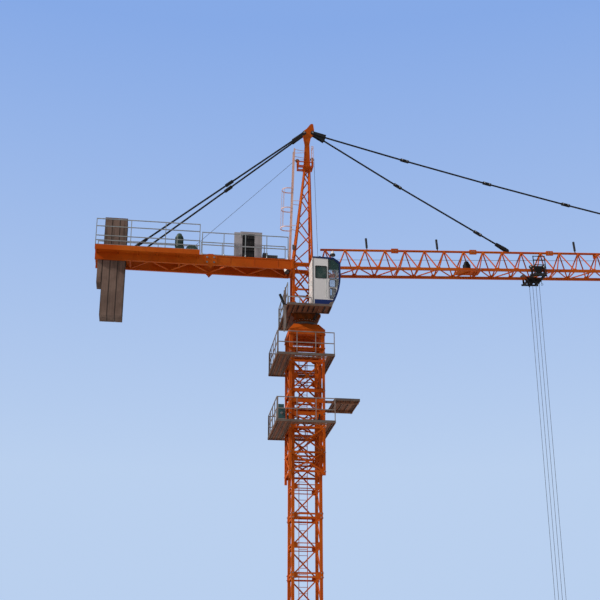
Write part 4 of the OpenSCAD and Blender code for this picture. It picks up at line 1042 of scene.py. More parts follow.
@dataclass
class MastDetail:
    """Sleeve bolts, node plates, foot bolts and the power cable of the mast."""

    leg_c: float = 0.34
    sleeve_half: float = 0.383
    lace_face: float = 0.3525
    free_joints: int = 4
    node_pitch: float = 0.7
    node_count: int = 14
    node_plate: tuple[float, float] = (0.085, 0.15)
    anchor: float = 0.47

    def build(self) -> None:
        """Builds all of the mast's small parts."""
        self.bolts()
        self.nodes()
        self.anchors()
        self.cable()

    def bolts(self) -> Piece:
        """Bolts that clamp the leg sleeves between two mast sections."""
        places = []
        for i in range(1, self.free_joints + 1):
            level = SIZES.base_h + i * SIZES.section_h
            for sx in SIDES:
                for sy in SIDES:
                    for dz in (-0.05, 0.05):
                        places.append(turned((sx * self.leg_c, sy * self.sleeve_half, level + dz), (0, sy, 0)))
                        places.append(turned((sx * self.sleeve_half, sy * self.leg_c, level + dz), (sx, 0, 0)))
        return Workshop.spread(
            Workshop.bolt(0.013, 0.014, 0.008), places, "mast_bolts", Finish.PIN, "crane_paint", Body.TOWER
        )

    def nodes(self) -> Piece:
        """Plates where the lacing meets the legs, with a cut corner each."""
        half = self.node_plate[1] / 2
        levels = [SIZES.base_h + i * self.node_pitch for i in range(self.node_count + 1)]
        levels = [min(max(level, SIZES.base_h + half), SIZES.mast_top - half) for level in levels]
        place = (self.leg_c - 0.035, -self.lace_face - 0.002)
        return lattice_plates(self.node_plate, (0.45, 0.2), place, levels, "mast_node_plates")

    def anchors(self) -> Piece:
        """Foot bolts with double nuts on the base pads."""
        places = [turned((sx * self.anchor, sy * self.anchor, 0.0305), (0, 0, 1)) for sx in SIDES for sy in SIDES]
        lower = Workshop.bolt(0.028, 0.03, 0.05)
        upper = Workshop.tube((0, 0, 0.034), (0, 0, 0.056), 0.026, 6, 0.003)
        return Workshop.spread(
            Workshop.join([lower, upper]), places, "base_anchor_bolts", Finish.PIN, "galvanised", Body.TOWER
        )

    def cable(self) -> Piece:
        """The power line in its duct, clipped up the far left leg."""
        x, y = -0.275, 0.275
        line = Workshop.tube((x, y, 0.2), (x, y, 9.85), 0.014, 10)
        clips = [
            Workshop.block((x - 0.035, y - 0.004, z), (x + 0.02, y + 0.035, z + 0.03), 0.004)
            for z in [0.5 + 0.7 * i for i in range(14)]
        ]
        return Workshop.fit([line, *clips], "mast_power_line", Finish.CABLE, "black_steel", Body.TOWER)


@dataclass
class CageDetail:
    """Node plates and frame pins of the climbing cage."""

    face: float = 0.4355
    inner: float = 0.392
    levels: tuple[float, ...] = (9.86, 9.62, 8.855, 8.585, 7.905, 7.28, 6.81)
    plate_size: tuple[float, float] = (0.075, 0.12)

    def build(self) -> None:
        """Builds all of the cage's small parts."""
        self.nodes()
        self.pins()

    def nodes(self) -> Piece:
        """Plates at the cage's bracing nodes on all four faces."""
        place = (self.inner, -self.face)
        return lattice_plates(self.plate_size, (0.5, 0.15), place, list(self.levels), "cage_node_plates")

    def pins(self) -> Piece:
        """Bolts through the cage's legs at each level."""
        places = []
        for level in (*self.levels, 8.255):
            for sx in SIDES:
                for sy in SIDES:
                    places.append(turned((sx * 0.42, sy * 0.45, level), (0, sy, 0)))
                    places.append(turned((sx * 0.45, sy * 0.42, level), (sx, 0, 0)))
        return Workshop.spread(
            Workshop.bolt(0.011, 0.012, 0.006), places, "cage_bolts", Finish.PIN, "crane_paint", Body.TOWER
        )


@dataclass
class DeckDetail:
    """Edge channels, floor joists and open gratings of one working deck."""

    name: str
    body: Body
    top: float
    x0: float
    x1: float
    y0: float
    y1: float
    hole: float
    deep: float = 0.052
    joists: int = 6
    mesh_w: float = 0.0

    def build(self) -> None:
        """Builds the deck's edge, joists and gratings."""
        self.edge()
        self.floor_joists()
        if self.mesh_w:
            self.mesh()

    def mesh(self) -> Piece:
        """Thin flat bars across the two open gratings."""
        bar = Workshop.block((-0.001, 0.012, 0.0), (0.001, self.mesh_w - 0.012, 0.007), 0.0003)
        count = int(2 * self.hole / 0.026)
        places = []
        for i in range(1, count):
            at = Matrix.Translation((-self.hole + 2 * self.hole * i / count, self.y0, self.top))
            places.append(at)
            places.append(HALF_TURN @ at)
        return Workshop.spread(bar, places, self.name + "_mesh", Finish.CHANNEL, "galvanised", self.body)

    def edge(self) -> Piece:
        """A light channel round the deck's outer edge."""
        t, low, high = 0.005, self.top - self.deep, self.top + 0.006
        lip = 0.022
        parts = []
        for y, s in ((self.y0, -1), (self.y1, 1)):
            web = sorted((y + s * 0.001, y + s * (0.001 + t)))
            parts.append(Workshop.block((self.x0 - t, web[0], low), (self.x1 + t, web[1], high), 0.001))
            flange = sorted((y + s * (0.001 + t), y - s * lip))
            parts.append(
                Workshop.block((self.x0 - t, flange[0], high), (self.x1 + t, flange[1], high + 0.003), 0.001)
            )
        for x, s in ((self.x0, -1), (self.x1, 1)):
            web = sorted((x + s * 0.001, x + s * (0.001 + t)))
            parts.append(Workshop.block((web[0], self.y0, low), (web[1], self.y1, high), 0.001))
        return Workshop.fit(parts, self.name + "_edge", Finish.CHANNEL, "galvanised", self.body)

    def floor_joists(self) -> Piece:
        """Angle joists under the planks."""
        parts = []
        under, a, b = self.top - 0.026, self.y0 + 0.01, self.y1 - 0.01
        for i in range(self.joists):
            x = self.x0 + 0.06 + (self.x1 - self.x0 - 0.12) * i / (self.joists - 1)
            if abs(x) >= self.hole + 0.02:
                parts.append(Workshop.block((x - 0.003, a, under - 0.028), (x + 0.003, b, under), 0.001))
                parts.append(Workshop.block((x, a, under - 0.006), (x + 0.026, b, under), 0.001))
        return Workshop.fit(parts, self.name + "_joists", Finish.CHANNEL, "black_steel", self.body)


@dataclass
class PlatformDetail:
    """Edge strips and joists of the cab's platform."""

    top: float = 10.9703
    back: float = -0.575
    nose: float = 0.566
    half: float = 0.95

    def build(self) -> None:
        """Builds the platform's edge and underside."""
        self.edge()
        self.under()

    def edge(self) -> Piece:
        """A light steel edge round the platform."""
        z0, z1 = self.top - 0.05, self.top + 0.006
        parts = [
            Workshop.block((self.back - 0.006, -self.half - 0.006, z0), (self.nose, -self.half - 0.001, z1), 0.001),
            Workshop.block((self.back - 0.006, self.half + 0.001, z0), (0.15, self.half + 0.006, z1), 0.001),
            Workshop.block((self.back - 0.006, -self.half, z0), (self.back - 0.001, self.half, z1), 0.001),
        ]
        return Workshop.fit(parts, "cab_platform_edge", Finish.CHANNEL, "galvanised")

    def under(self) -> Piece:
        """Joists under the platform's boards."""
        floor = self.top - 0.026
        parts = []
        for x in (-0.52, -0.40):
            parts.append(
                Workshop.block(
                    (x - 0.004, -self.half + 0.014, floor - 0.032), (x + 0.004, self.half - 0.014, floor), 0.001
                )
            )
        for i in range(7):
            x = -0.28 + 0.135 * i
            parts.append(
                Workshop.block((x - 0.004, -self.half + 0.014, floor - 0.032), (x + 0.004, -0.45, floor), 0.001)
            )
            parts.append(Workshop.block((x, -self.half + 0.014, floor - 0.006), (x + 0.028, -0.45, floor), 0.001))
        return Workshop.fit(parts, "cab_platform_joists", Finish.BLACK, "black_steel")


@dataclass
class HydraulicDetail:
    """Panels, gauge, cap and lever of the hydraulic climbing unit."""

    x0: float = -0.72
    y0: float = -0.26
    z0: float = 7.95

    def build(self) -> None:
        """Builds the unit's small parts."""
        panel = Workshop.block(
            (self.x0 + 0.01, self.y0 - 0.006, self.z0 + 0.02), (self.x0 + 0.19, self.y0, self.z0 + 0.20), 0.003
        )
        side = Workshop.block(
            (self.x0 - 0.006, self.y0 + 0.05, self.z0 + 0.08), (self.x0, self.y0 + 0.37, self.z0 + 0.4), 0.003
        )
        Workshop.fit([panel, side], "hydraulic_panels", Finish.CABINET, "cabinet_grey", Body.TOWER)
        rim = Workshop.lathe(
            [(0.0, 0.0), (0.03, 0.0), (0.03, 0.012), (0.026, 0.014), (0.024, 0.008), (0.0, 0.008)],
            turned((self.x0 + 0.1, self.y0 - 0.006, self.z0 + 0.34), (0, -1, 0)),
            24,
        )
        cap = Workshop.lathe(
            [(0.0, 0.0), (0.035, 0.0), (0.035, 0.02), (0.028, 0.028), (0.0, 0.028)],
            turned((self.x0 + 0.1, self.y0 + 0.1, self.z0 + 0.46), (0, 0, 1)),
            20,
        )
        lever = Workshop.join(
            [
                Workshop.block((0.19, -0.905, self.z0 + 0.006), (0.26, -0.855, self.z0 + 0.05), 0.006),
                Workshop.tube((0.225, -0.88, self.z0 + 0.04), (0.235, -0.885, self.z0 + 0.12), 0.012, 10),
                Workshop.lathe(
                    [(0.0, -0.028), (0.018, -0.02), (0.028, 0.0), (0.018, 0.02), (0.0, 0.028)],
                    Matrix.Translation((0.237, -0.886, self.z0 + 0.14)),
                    16,
                ),
            ]
        )
        Workshop.fit([rim, cap], "hydraulic_gauge", Finish.PIN, "galvanised", Body.TOWER)
        Workshop.fit(lever, "deck_lever", Finish.BLACK, "black_steel", Body.TOWER)


# ---------------------------------------------------------------- slewing ring and turntable


@dataclass
class SlewingDetail:
    """Teeth, bolts and ribs of the slewing ring and its support."""

    ring_r: float = 0.31
    teeth: int = 90
    half: float = 0.4625
    floor_h: float = 0.371

    def build(self) -> None:
        """Builds the slewing parts."""
        self.ring_teeth()
        self.flange_bolts()
        self.ribs()
        self.ring_bolts()

    def ring_teeth(self) -> Piece:
        """The ring's outer gear teeth."""
        outline = [(0, -0.0085), (0.012, -0.005), (0.012, 0.005), (0, 0.0085)]
        tooth = Workshop.plate(outline, 0.056, HERE, 0.0)
        places = [
            Matrix.Rotation(math.tau * i / self.teeth, 4, "Z")
            @ Matrix.Translation((self.ring_r - 0.001, 0, SIZES.ring_z + 0.045))
            for i in range(self.teeth)
        ]
        return Workshop.spread(tooth, places, "slewing_ring_teeth", Finish.WHEEL, "wheel_steel", Body.TOWER)

    def flange_bolts(self) -> Piece:
        """Bolts of the support's foot plate."""
        places = []
        for i in range(7):
            u = -0.33 + 0.11 * i
            for s in SIDES:
                places.append(turned((u, s * 0.435, SIZES.mast_top + 0.026), (0, 0, 1)))
                places.append(turned((s * 0.435, u, SIZES.mast_top + 0.026), (0, 0, 1)))
        return Workshop.spread(
            Workshop.bolt(0.014, 0.016, 0.012), places, "support_bolts", Finish.PIN, "crane_paint", Body.TOWER
        )

    def ribs(self) -> Piece:
        """Flat ribs under the support's box and weld beads along its shoulders."""
        h, floor = self.half, SIZES.mast_top + self.floor_h
        parts = []
        for u in (-0.22, 0.0, 0.22):
            parts.append(Workshop.block((-0.33, u - 0.006, floor - 0.045), (0.33, u + 0.006, floor), 0.002))
            parts.append(Workshop.block((u - 0.006, -0.33, floor - 0.03), (u + 0.006, 0.33, floor), 0.002))
        for s in SIDES:
            for z in (floor + 0.018, SIZES.ring_z - 0.19):
                parts.append(Workshop.tube((-h, s * h, z), (h, s * h, z), 0.006, 6))
                parts.append(Workshop.tube((s * h, -h, z), (s * h, h, z), 0.006, 6))
        return Workshop.fit(parts, "support_ribs", Finish.CRANE, "crane_paint", Body.TOWER)

    def ring_bolts(self) -> Piece:
        """Bolts round the turntable's foot ring."""
        side = []
        for i in range(28):
            a = math.tau * (i + 0.5) / 28
            side.append(
                turned((0.31 * math.cos(a), 0.31 * math.sin(a), SIZES.turn_z + 0.03), (math.cos(a), math.sin(a), 0))
            )
        return Workshop.spread(
            Workshop.bolt(0.010, 0.010, 0.004), side, "turntable_bolts", Finish.PIN, "crane_paint"
        )


@dataclass
class MotorDetail:
    """Fins and top rim of an upright motor."""

    name: str
    body: Body
    at: Point
    radius: float
    height: float
    fins: int = 24
    slot: str = "motor_grey"
    finish: Finish = Finish.MOTOR

    def build(self) -> Piece:
        """Builds the motor's fins and top rim as one piece."""
        x, y, z = self.at
        outline = [(0, 0), (0.012, 0.006), (0.012, self.height * 0.9), (0, self.height)]
        fin = Workshop.plate(outline, 0.003, UPRIGHT, 0.0)
        places = [
            Matrix.Translation((x, y, z)) @ Matrix.Rotation(math.tau * i / self.fins, 4, "Z")
            @ Matrix.Translation((self.radius - 0.002, 0, 0))
            for i in range(self.fins)
        ]
        fins = Workshop.repeat(fin, places)
        rim = Workshop.lathe(
            [
                (self.radius - 0.002, self.height), (self.radius + 0.012, self.height),
                (self.radius + 0.012, self.height + 0.012), (self.radius - 0.002, self.height + 0.016),
            ],
            Matrix.Translation((x, y, z)),
        )
        return Workshop.fit([fins, rim], self.name, self.finish, self.slot, self.body)


# ---------------------------------------------------------------- tower head


@dataclass
class HeadDetail:
    """Node plates, pins, cap plates and small rails of the tower head."""

    face: float = 0.2605
    leg_in_back: float = -0.29
    leg_in_front: float = 0.14

    def build(self) -> None:
        """Builds the head's small parts."""
        self.nodes()
        self.pins()
        self.cap_parts()
        self.guard_rails()
        self.ladder_bars()
        self.leg_boxes()

    def ladder_bars(self) -> Piece:
        """Two pairs of thin bars that hold the ladder's top to the neck."""
        parts = []
        for z in (15.605, 15.825):
            for s in SIDES:
                parts.append(Workshop.tube((-0.285, s * 0.105, z), (0.01, s * 0.045, z), 0.007, 8))
        return Workshop.fit(parts, "ladder_top_bars", Finish.LADDER, "ladder_primer")

    def leg_boxes(self) -> Piece:
        """Two small junction boxes strapped to the near rear leg, with their lids and glands."""
        parts = []
        for low, high in (
            ((-0.372, -0.306, 10.985), (-0.282, -0.272, 11.245)), ((-0.362, -0.296, 12.74), (-0.296, -0.250, 12.87))
        ):
            parts.append(Workshop.block(low, high, 0.006))
            lid_low = (low[0] + 0.008, low[1] - 0.006, low[2] + 0.012)
            parts.append(Workshop.block(lid_low, (high[0] - 0.008, low[1] + 0.002, high[2] - 0.012), 0.003))
            x, y = (low[0] + high[0]) / 2, (low[1] + high[1]) / 2
            parts.append(Workshop.tube((x, y, low[2] - 0.03), (x, y, low[2] + 0.004), 0.010, 12))
        return Workshop.fit(parts, "leg_junction_boxes", Finish.CHANNEL, "galvanised")

    def nodes(self) -> Piece:
        """Plates at the lower head's bracing nodes."""
        outline = [(0, -0.07), (0.045, -0.07), (0.085, -0.02), (0.085, 0.02), (0.045, 0.07), (0, 0.07)]
        plate = Workshop.plate(outline, NODE_PLATE_T, HERE)
        places = []
        for level in (SIZES.platform_top + 0.05, SIZES.platform_z + 0.7, SIZES.head_lower_top - 0.05):
            for s in SIDES:
                y = s * (self.face + 0.004)
                places.append(Matrix.Translation((self.leg_in_back, y, level)) @ UPRIGHT)
                places.append(Matrix.Translation((self.leg_in_front, y, level)) @ HALF_TURN @ UPRIGHT)
                turn = Matrix.Rotation(math.radians(90), 4, "Z")
                for x in (-0.339, 0.189):
                    rotate = turn if s < 0 else turn @ HALF_TURN
                    places.append(Matrix.Translation((x, s * 0.215, level)) @ rotate @ UPRIGHT)
        return Workshop.spread(plate, places, "head_node_plates", Finish.CRANE, "crane_paint")

    def pins(self) -> Piece:
        """Heads, collars and split pins of the big pins."""
        places = []
        for s in SIDES:
            places.append(turned((SIZES.jib_x, s * 0.328, SIZES.jib_z), (0, s, 0)))
            places.append(turned((0.225, s * 0.0905, 16.410), (0, s, 0)))
            places.append(turned((-0.010, s * 0.0905, 16.390), (0, s, 0)))
        head = Workshop.lathe(
            [(0.0, 0.0), (0.03, 0.0), (0.03, 0.006), (0.026, 0.012), (0.012, 0.012), (0.010, 0.016), (0.0, 0.016)],
            HERE,
            20,
        )
        split = Workshop.tube((-0.036, 0, 0.004), (0.036, 0, 0.004), 0.003, 6)
        return Workshop.spread(Workshop.join([head, split]), places, "head_pins", Finish.PIN, "crane_paint")

    def cap_parts(self) -> Piece:
        """Ribs across the cap's neck."""
        ribs = []
        for s in SIDES:
            outline = [(0, 0), (0.055, 0), (0.055, 0.012), (0.012, 0.11), (0, 0.11)]
            for x in (-0.03, 0.05, 0.12):
                place = Matrix.Translation((x, s * 0.04, SIZES.taper_top + 0.022)) @ Matrix.Rotation(
                    math.radians(90 * s), 4, "Z"
                ) @ UPRIGHT
                ribs.append(Workshop.plate(outline, 0.008, place))
        return Workshop.fit(ribs, "cap_ribs", Finish.CRANE, "crane_paint")

    def guard_rails(self) -> Piece:
        """The thin rail frame that stands on the guard beside the neck."""
        z0, z1 = 15.438, 15.93
        parts = [
            Workshop.tube((x, y, z0), (x, y, z1), 0.008, 8)
            for x, y in ((0.175, -0.15), (0.222, -0.15), (0.222, 0.13))
        ]
        for z in (15.58, 15.72, 15.86):
            parts.append(Workshop.tube((0.175, -0.15, z), (0.222, -0.15, z), 0.006, 8))
        parts.append(Workshop.tube((0.222, -0.15, z1), (0.222, 0.13, z1), 0.008, 8))
        parts.append(Workshop.tube((0.175, -0.15, z1), (0.222, -0.15, z1), 0.008, 8))
        return Workshop.fit(parts, "guard_rails", Finish.LADDER, "ladder_primer")


# ---------------------------------------------------------------- cab


@dataclass
class CabDetail:
    """Blue frame, window rims, rear panel and fittings of the driver's cab."""

    x: float = 0.075
    y: float = -0.948
    z: float = 10.9703
    length: float = 0.715
    width: float = 0.59
    height: float = 1.29
    nose_r: float = 1.65
    nose_share: float = 0.635
    roof_share: float = 0.745
    corner_share: float = 0.9
    windows: tuple[tuple[tuple[float, float], ...], ...] = (
        ((0.067, 0.7095), (0.359, 0.7095), (0.359, 1.045), (0.067, 1.045)),
        ((0.402, 0.7095), (0.681, 0.7095), (0.681, 1.1434), (0.522, 1.256), (0.402, 1.256)),
        ((0.428, 0.479), (0.598, 0.479), (0.598, 0.680), (0.428, 0.680)),
        ((0.438, 0.164), (0.5423, 0.164), (0.568, 0.222), (0.590, 0.284), (0.590, 0.440), (0.438, 0.440)),
    )

    def build(self) -> None:
        """Builds the cab's outside parts."""
        self.blue_frame()
        self.nose_panels()
        self.rims()
        self.rear_panel()
        self.roof()
        self.front_bars()
        self.fittings()
        self.console()

    def nose_x(self, z: float, inset: float = 0.0) -> float:
        """How far the front reaches at a height above the cab's floor."""
        r = self.nose_r - inset
        zc = self.nose_share * self.height
        if z >= zc:
            return self.length - inset
        return self.length - self.nose_r + math.sqrt(max(r * r - (z - zc) ** 2, 0.0))

    def front_line(self, inset: float, low: float) -> Outline:
        """The front edge from a height up to the roof's rear end.

        Args:
            inset: how far inside the outline the line runs.
            low: the height where it starts.

        Returns:
            Points of x and height in the cab's own measure.
        """
        h, n = self.height, 22
        slope_z = self.corner_share * h
        points = []
        for i in range(n + 1):
            z = low + (slope_z - inset - low) * i / n
            points.append((self.nose_x(z, inset), z))
        points.append((self.roof_share * self.length, h - inset))
        return points

    def side_places(self) -> list[Matrix]:
        """Places on the near and far side, with x and height as the drawing's axes."""
        return [
            Matrix.Translation((self.x, self.y - 0.003, self.z)) @ UPRIGHT,
            Matrix.Translation((self.x, self.y + self.width + 0.003, self.z)) @ UPRIGHT,
        ]

    def blue_frame(self) -> Piece:
        """The dark blue skirt, curved front edge and roof edge on both sides."""
        outer = self.front_line(-0.004, 0.0)
        inner = self.front_line(0.042, 0.125)
        roof_out = [(0.0, self.height + 0.004)]
        roof_in = [(0.0, self.height - 0.026)]
        arc = outer + roof_out + roof_in + inner[::-1]
        band = Workshop.plate(arc + [(0.045, 0.125), (0.045, 0.0)], 0.008, HERE, 0.002)
        return Workshop.spread(band, self.side_places(), "cab_blue_frame", Finish.CAB_BLUE, "cab_white")

    def nose_panels(self) -> Piece:
        """Grey strips between the small windows and the front edge, and the wedge under the nose."""
        left, steps = 0.608, 8
        strip = [(left, 0.70)]
        for i in range(steps + 1):
            z = 0.40 + 0.30 * i / steps
            strip.insert(1, (max(left + 0.002, self.nose_x(z) - 0.040), z))
        wedge = [(0.405, 0.0), (self.nose_x(0.0) + 0.002, 0.0), (self.nose_x(0.09) + 0.001, 0.09), (0.445, 0.060)]
        wedges = Workshop.join([Workshop.plate(wedge, 0.013, place, 0.002) for place in self.side_places()])
        Workshop.fit(wedges, "cab_nose_wedges", Finish.CHANNEL, "cab_white")
        strips = Workshop.join([Workshop.plate(strip, 0.005, place, 0.001) for place in self.side_places()])
        return Workshop.fit(strips, "cab_nose_panels", Finish.CAB_GREY, "cab_white")

    def rims(self) -> Piece:
        """Rubber rims round the side windows."""
        parts = []
        for window in self.windows:
            outer = Workshop.softened(Workshop.offset(window, 0.006), 0.030)
            inner = Workshop.softened(Workshop.offset(window, -0.008), 0.034)
            ring = Workshop.ring(outer, inner, 0.007)
            parts.append(Workshop.repeat(ring, self.side_places()))
        return Workshop.fit(parts, "cab_window_rims", Finish.GASKET, "seat_vinyl")

    def rear_panel(self) -> Piece:
        """The pale rear door panel with its hinges, handle and dark corner seals."""
        x = self.x - 0.004
        y0, y1 = self.y, self.y + self.width
        outline = [
            (y0 + 0.03, 0.03), (y1 - 0.03, 0.03), (y1 - 0.03, self.height - 0.03), (y0 + 0.03, self.height - 0.03)
        ]
        stand = Matrix.Translation((x - 0.003, 0, self.z)) @ Matrix(
            ((0, 0, 1, 0), (1, 0, 0, 0), (0, 1, 0, 0), (0, 0, 0, 1))
        )
        door = Workshop.plate(Workshop.softened(outline, 0.05), 0.006, stand, 0.002)
        ribs = [
            Workshop.block((x - 0.012, y0 + 0.06, self.z + z), (x - 0.005, y1 - 0.06, self.z + z + 0.02), 0.003)
            for z in (0.16, 0.36, 0.82, 1.02)
        ]
        Workshop.fit([door, *ribs], "cab_rear_door", Finish.CAB, "cab_white")
        seal = [
            Workshop.block(
                (self.x - 0.004, y - 0.006, self.z + 0.02),
                (self.x + 0.014, y + 0.006, self.z + self.height - 0.02),
                0.003,
            )
            for y in (y0, y1)
        ]
        Workshop.fit(seal, "cab_corner_seals", Finish.GASKET, "seat_vinyl")
        hinges = []
        for z in (0.12, 0.42, 0.72, 1.12):
            hinges.append(
                Workshop.tube(
                    (x - 0.012, y1 - 0.02, self.z + z), (x - 0.012, y1 - 0.02, self.z + z + 0.07), 0.010, 12
                )
            )
            hinges.append(
                Workshop.block(
                    (x - 0.010, y1 - 0.075, self.z + z + 0.01), (x - 0.005, y1 - 0.02, self.z + z + 0.06), 0.002
                )
            )
        hinges.append(
            Workshop.tube((x - 0.035, y0 + 0.09, self.z + 0.52), (x - 0.035, y0 + 0.09, self.z + 0.64), 0.008, 10)
        )
        for z in (0.53, 0.63):
            hinges.append(
                Workshop.tube((x - 0.037, y0 + 0.09, self.z + z), (x - 0.004, y0 + 0.09, self.z + z), 0.007, 8)
            )
        return Workshop.fit(hinges, "cab_hinges_handle", Finish.GALVANISED, "galvanised")

    def roof(self) -> Piece:
        """The roof skin with its rolled edge."""
        h = self.height
        line = [
            (-0.008, h + 0.002),
            (self.roof_share * self.length, h + 0.002),
            (self.length * 0.985, self.corner_share * h + 0.014),
        ]
        under = [(u, w + 0.010) for u, w in line[::-1]]
        place = Matrix.Translation((self.x, self.y + self.width / 2, self.z)) @ UPRIGHT
        obj = Workshop.plate(line + under, self.width + 0.024, place, 0.004)
        return Workshop.fit(obj, "cab_roof_skin", Finish.CAB_BLUE, "cab_white")

    def front_bars(self) -> Piece:
        """Pale bars across the curved front glazing."""
        parts = []
        for z in (0.43, 0.665, 1.03):
            x = self.x + self.nose_x(z) - 0.004
            parts.append(
                Workshop.block(
                    (x - 0.02, self.y + 0.03, self.z + z),
                    (x + 0.008, self.y + self.width - 0.03, self.z + z + 0.025),
                    0.004,
                )
            )
        return Workshop.fit(parts, "cab_front_bars", Finish.CAB, "cab_white")

    def fittings(self) -> Piece:
        """Wiper and grab rails on the cab."""
        x_nose = self.x + self.nose_x(0.72) + 0.012
        mid = self.y + self.width / 2
        wiper = [
            Workshop.tube(
                (x_nose, mid - 0.1, self.z + 0.70), (x_nose - 0.002, mid + 0.02, self.z + 0.97), 0.005, 8
            ),
            Workshop.tube(
                (x_nose + 0.004, mid - 0.06, self.z + 0.80), (x_nose + 0.002, mid + 0.1, self.z + 1.0), 0.006, 6
            ),
            Workshop.block(
                (x_nose - 0.02, mid - 0.12, self.z + 0.675), (x_nose + 0.005, mid - 0.08, self.z + 0.715), 0.004
            ),
        ]
        Workshop.fit(wiper, "cab_wiper", Finish.BLACK, "black_steel")
        rails = []
        for y in (self.y - 0.02, self.y + self.width + 0.02):
            rails.append(
                Workshop.tube((self.x + 0.34, y, self.z + 0.2), (self.x + 0.34, y, self.z + 0.66), 0.008, 10)
            )
            inner = self.y if y < self.y else self.y + self.width
            for z in (0.21, 0.65):
                rails.append(
                    Workshop.tube((self.x + 0.34, y, self.z + z), (self.x + 0.34, inner, self.z + z), 0.007, 8)
                )
        return Workshop.fit(rails, "cab_grab_rails", Finish.GALVANISED, "galvanised")

    def console(self) -> Piece:
        """Two control consoles beside the seat, each with a lever, and a low footrest."""
        x0 = self.x + 0.325
        mid = self.y + self.width / 2
        parts = [
            Workshop.block((x0 + 0.06, mid - 0.10, self.z + 0.022), (x0 + 0.12, mid + 0.10, self.z + 0.05), 0.008)
        ]
        for s in SIDES:
            y0, y1 = sorted((mid + s * 0.205, mid + s * 0.265))
            parts.append(Workshop.block((x0 - 0.09, y0, self.z + 0.022), (x0 + 0.02, y1, self.z + 0.34), 0.012))
            parts.append(
                Workshop.block(
                    (x0 - 0.10, y0 - 0.006, self.z + 0.34), (x0 + 0.035, y1 + 0.006, self.z + 0.375), 0.010
                )
            )
        for s in SIDES:
            parts.append(
                Workshop.tube(
                    (x0 - 0.03, mid + s * 0.235, self.z + 0.37),
                    (x0 - 0.045, mid + s * 0.235, self.z + 0.45),
                    0.007,
                    8,
                )
            )
            parts.append(
                Workshop.lathe(
                    [(0.0, -0.018), (0.012, -0.012), (0.016, 0.0), (0.012, 0.012), (0.0, 0.018)],
                    Matrix.Translation((x0 - 0.047, mid + s * 0.235, self.z + 0.465)),
                    14,
                )
            )
        return Workshop.fit(parts, "cab_console", Finish.MOTOR, "motor_grey")


@dataclass
class SeatDetail:
    """The driver's seat: padded cushion and backrest on a sprung pedestal."""

    at: Point = (0.225, -0.653, 10.9903)

    def build(self) -> None:
        """Builds the seat's frame and its two padded parts."""
        self.frame()
        self.pad("seat_cushion", (-0.118, -0.128, 0.178), (0.122, 0.128, 0.238))
        self.pad("seat_backrest", (-0.122, -0.122, 0.25), (-0.070, 0.122, 0.558))

    def frame(self) -> Piece:
        """Bellows pedestal, pan and arm rests."""
        x, y, z = self.at
        bellows = [(0.0, 0.0), (0.055, 0.0)]
        for i in range(7):
            bellows += [(0.045, 0.012 + i * 0.022), (0.034, 0.022 + i * 0.022)]
        bellows += [(0.045, 0.168), (0.0, 0.168)]
        parts = [
            Workshop.lathe(bellows, Matrix.Translation((x, y, z + 0.001)), 28),
            Workshop.block((x - 0.115, y - 0.12, z + 0.166), (x + 0.115, y + 0.12, z + 0.182), 0.006),
            Workshop.tube((x - 0.095, y, z + 0.17), (x - 0.105, y, z + 0.30), 0.014, 10),
        ]
        for s in SIDES:
            parts.append(
                Workshop.block(
                    (x - 0.058, y + s * 0.16 - 0.022, z + 0.285),
                    (x + 0.128, y + s * 0.16 + 0.022, z + 0.325),
                    0.012,
                )
            )
            parts.append(
                Workshop.tube((x - 0.04, y + s * 0.115, z + 0.205), (x - 0.04, y + s * 0.155, z + 0.30), 0.010, 8)
            )
        obj = Workshop.join(parts)
        Workshop.fit(obj, "seat_frame", Finish.MOTOR, "motor_grey")
        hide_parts("cab_seat")
        return obj

    def pad(self, name: str, low: Point, high: Point) -> Piece:
        """One stuffed pad, crowned and pulled in between its corners.

        Args:
            name: the piece's name.
            low: its lowest corner from the seat's foot.
            high: its highest corner.

        Returns:
            The pad.
        """
        shrink = 0.010
        a = tuple(self.at[i] + low[i] + shrink for i in range(3))
        b = tuple(self.at[i] + high[i] - shrink for i in range(3))
        obj = Workshop.block(a, b, 0.014)
        Workshop.puff(obj, 0.007, shrink * 0.95)
        Workshop.settle(obj)
        Workshop.fit(obj, name, Finish.VINYL, "seat_vinyl")
        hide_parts("cab_seat")
        return obj


# ---------------------------------------------------------------- jib


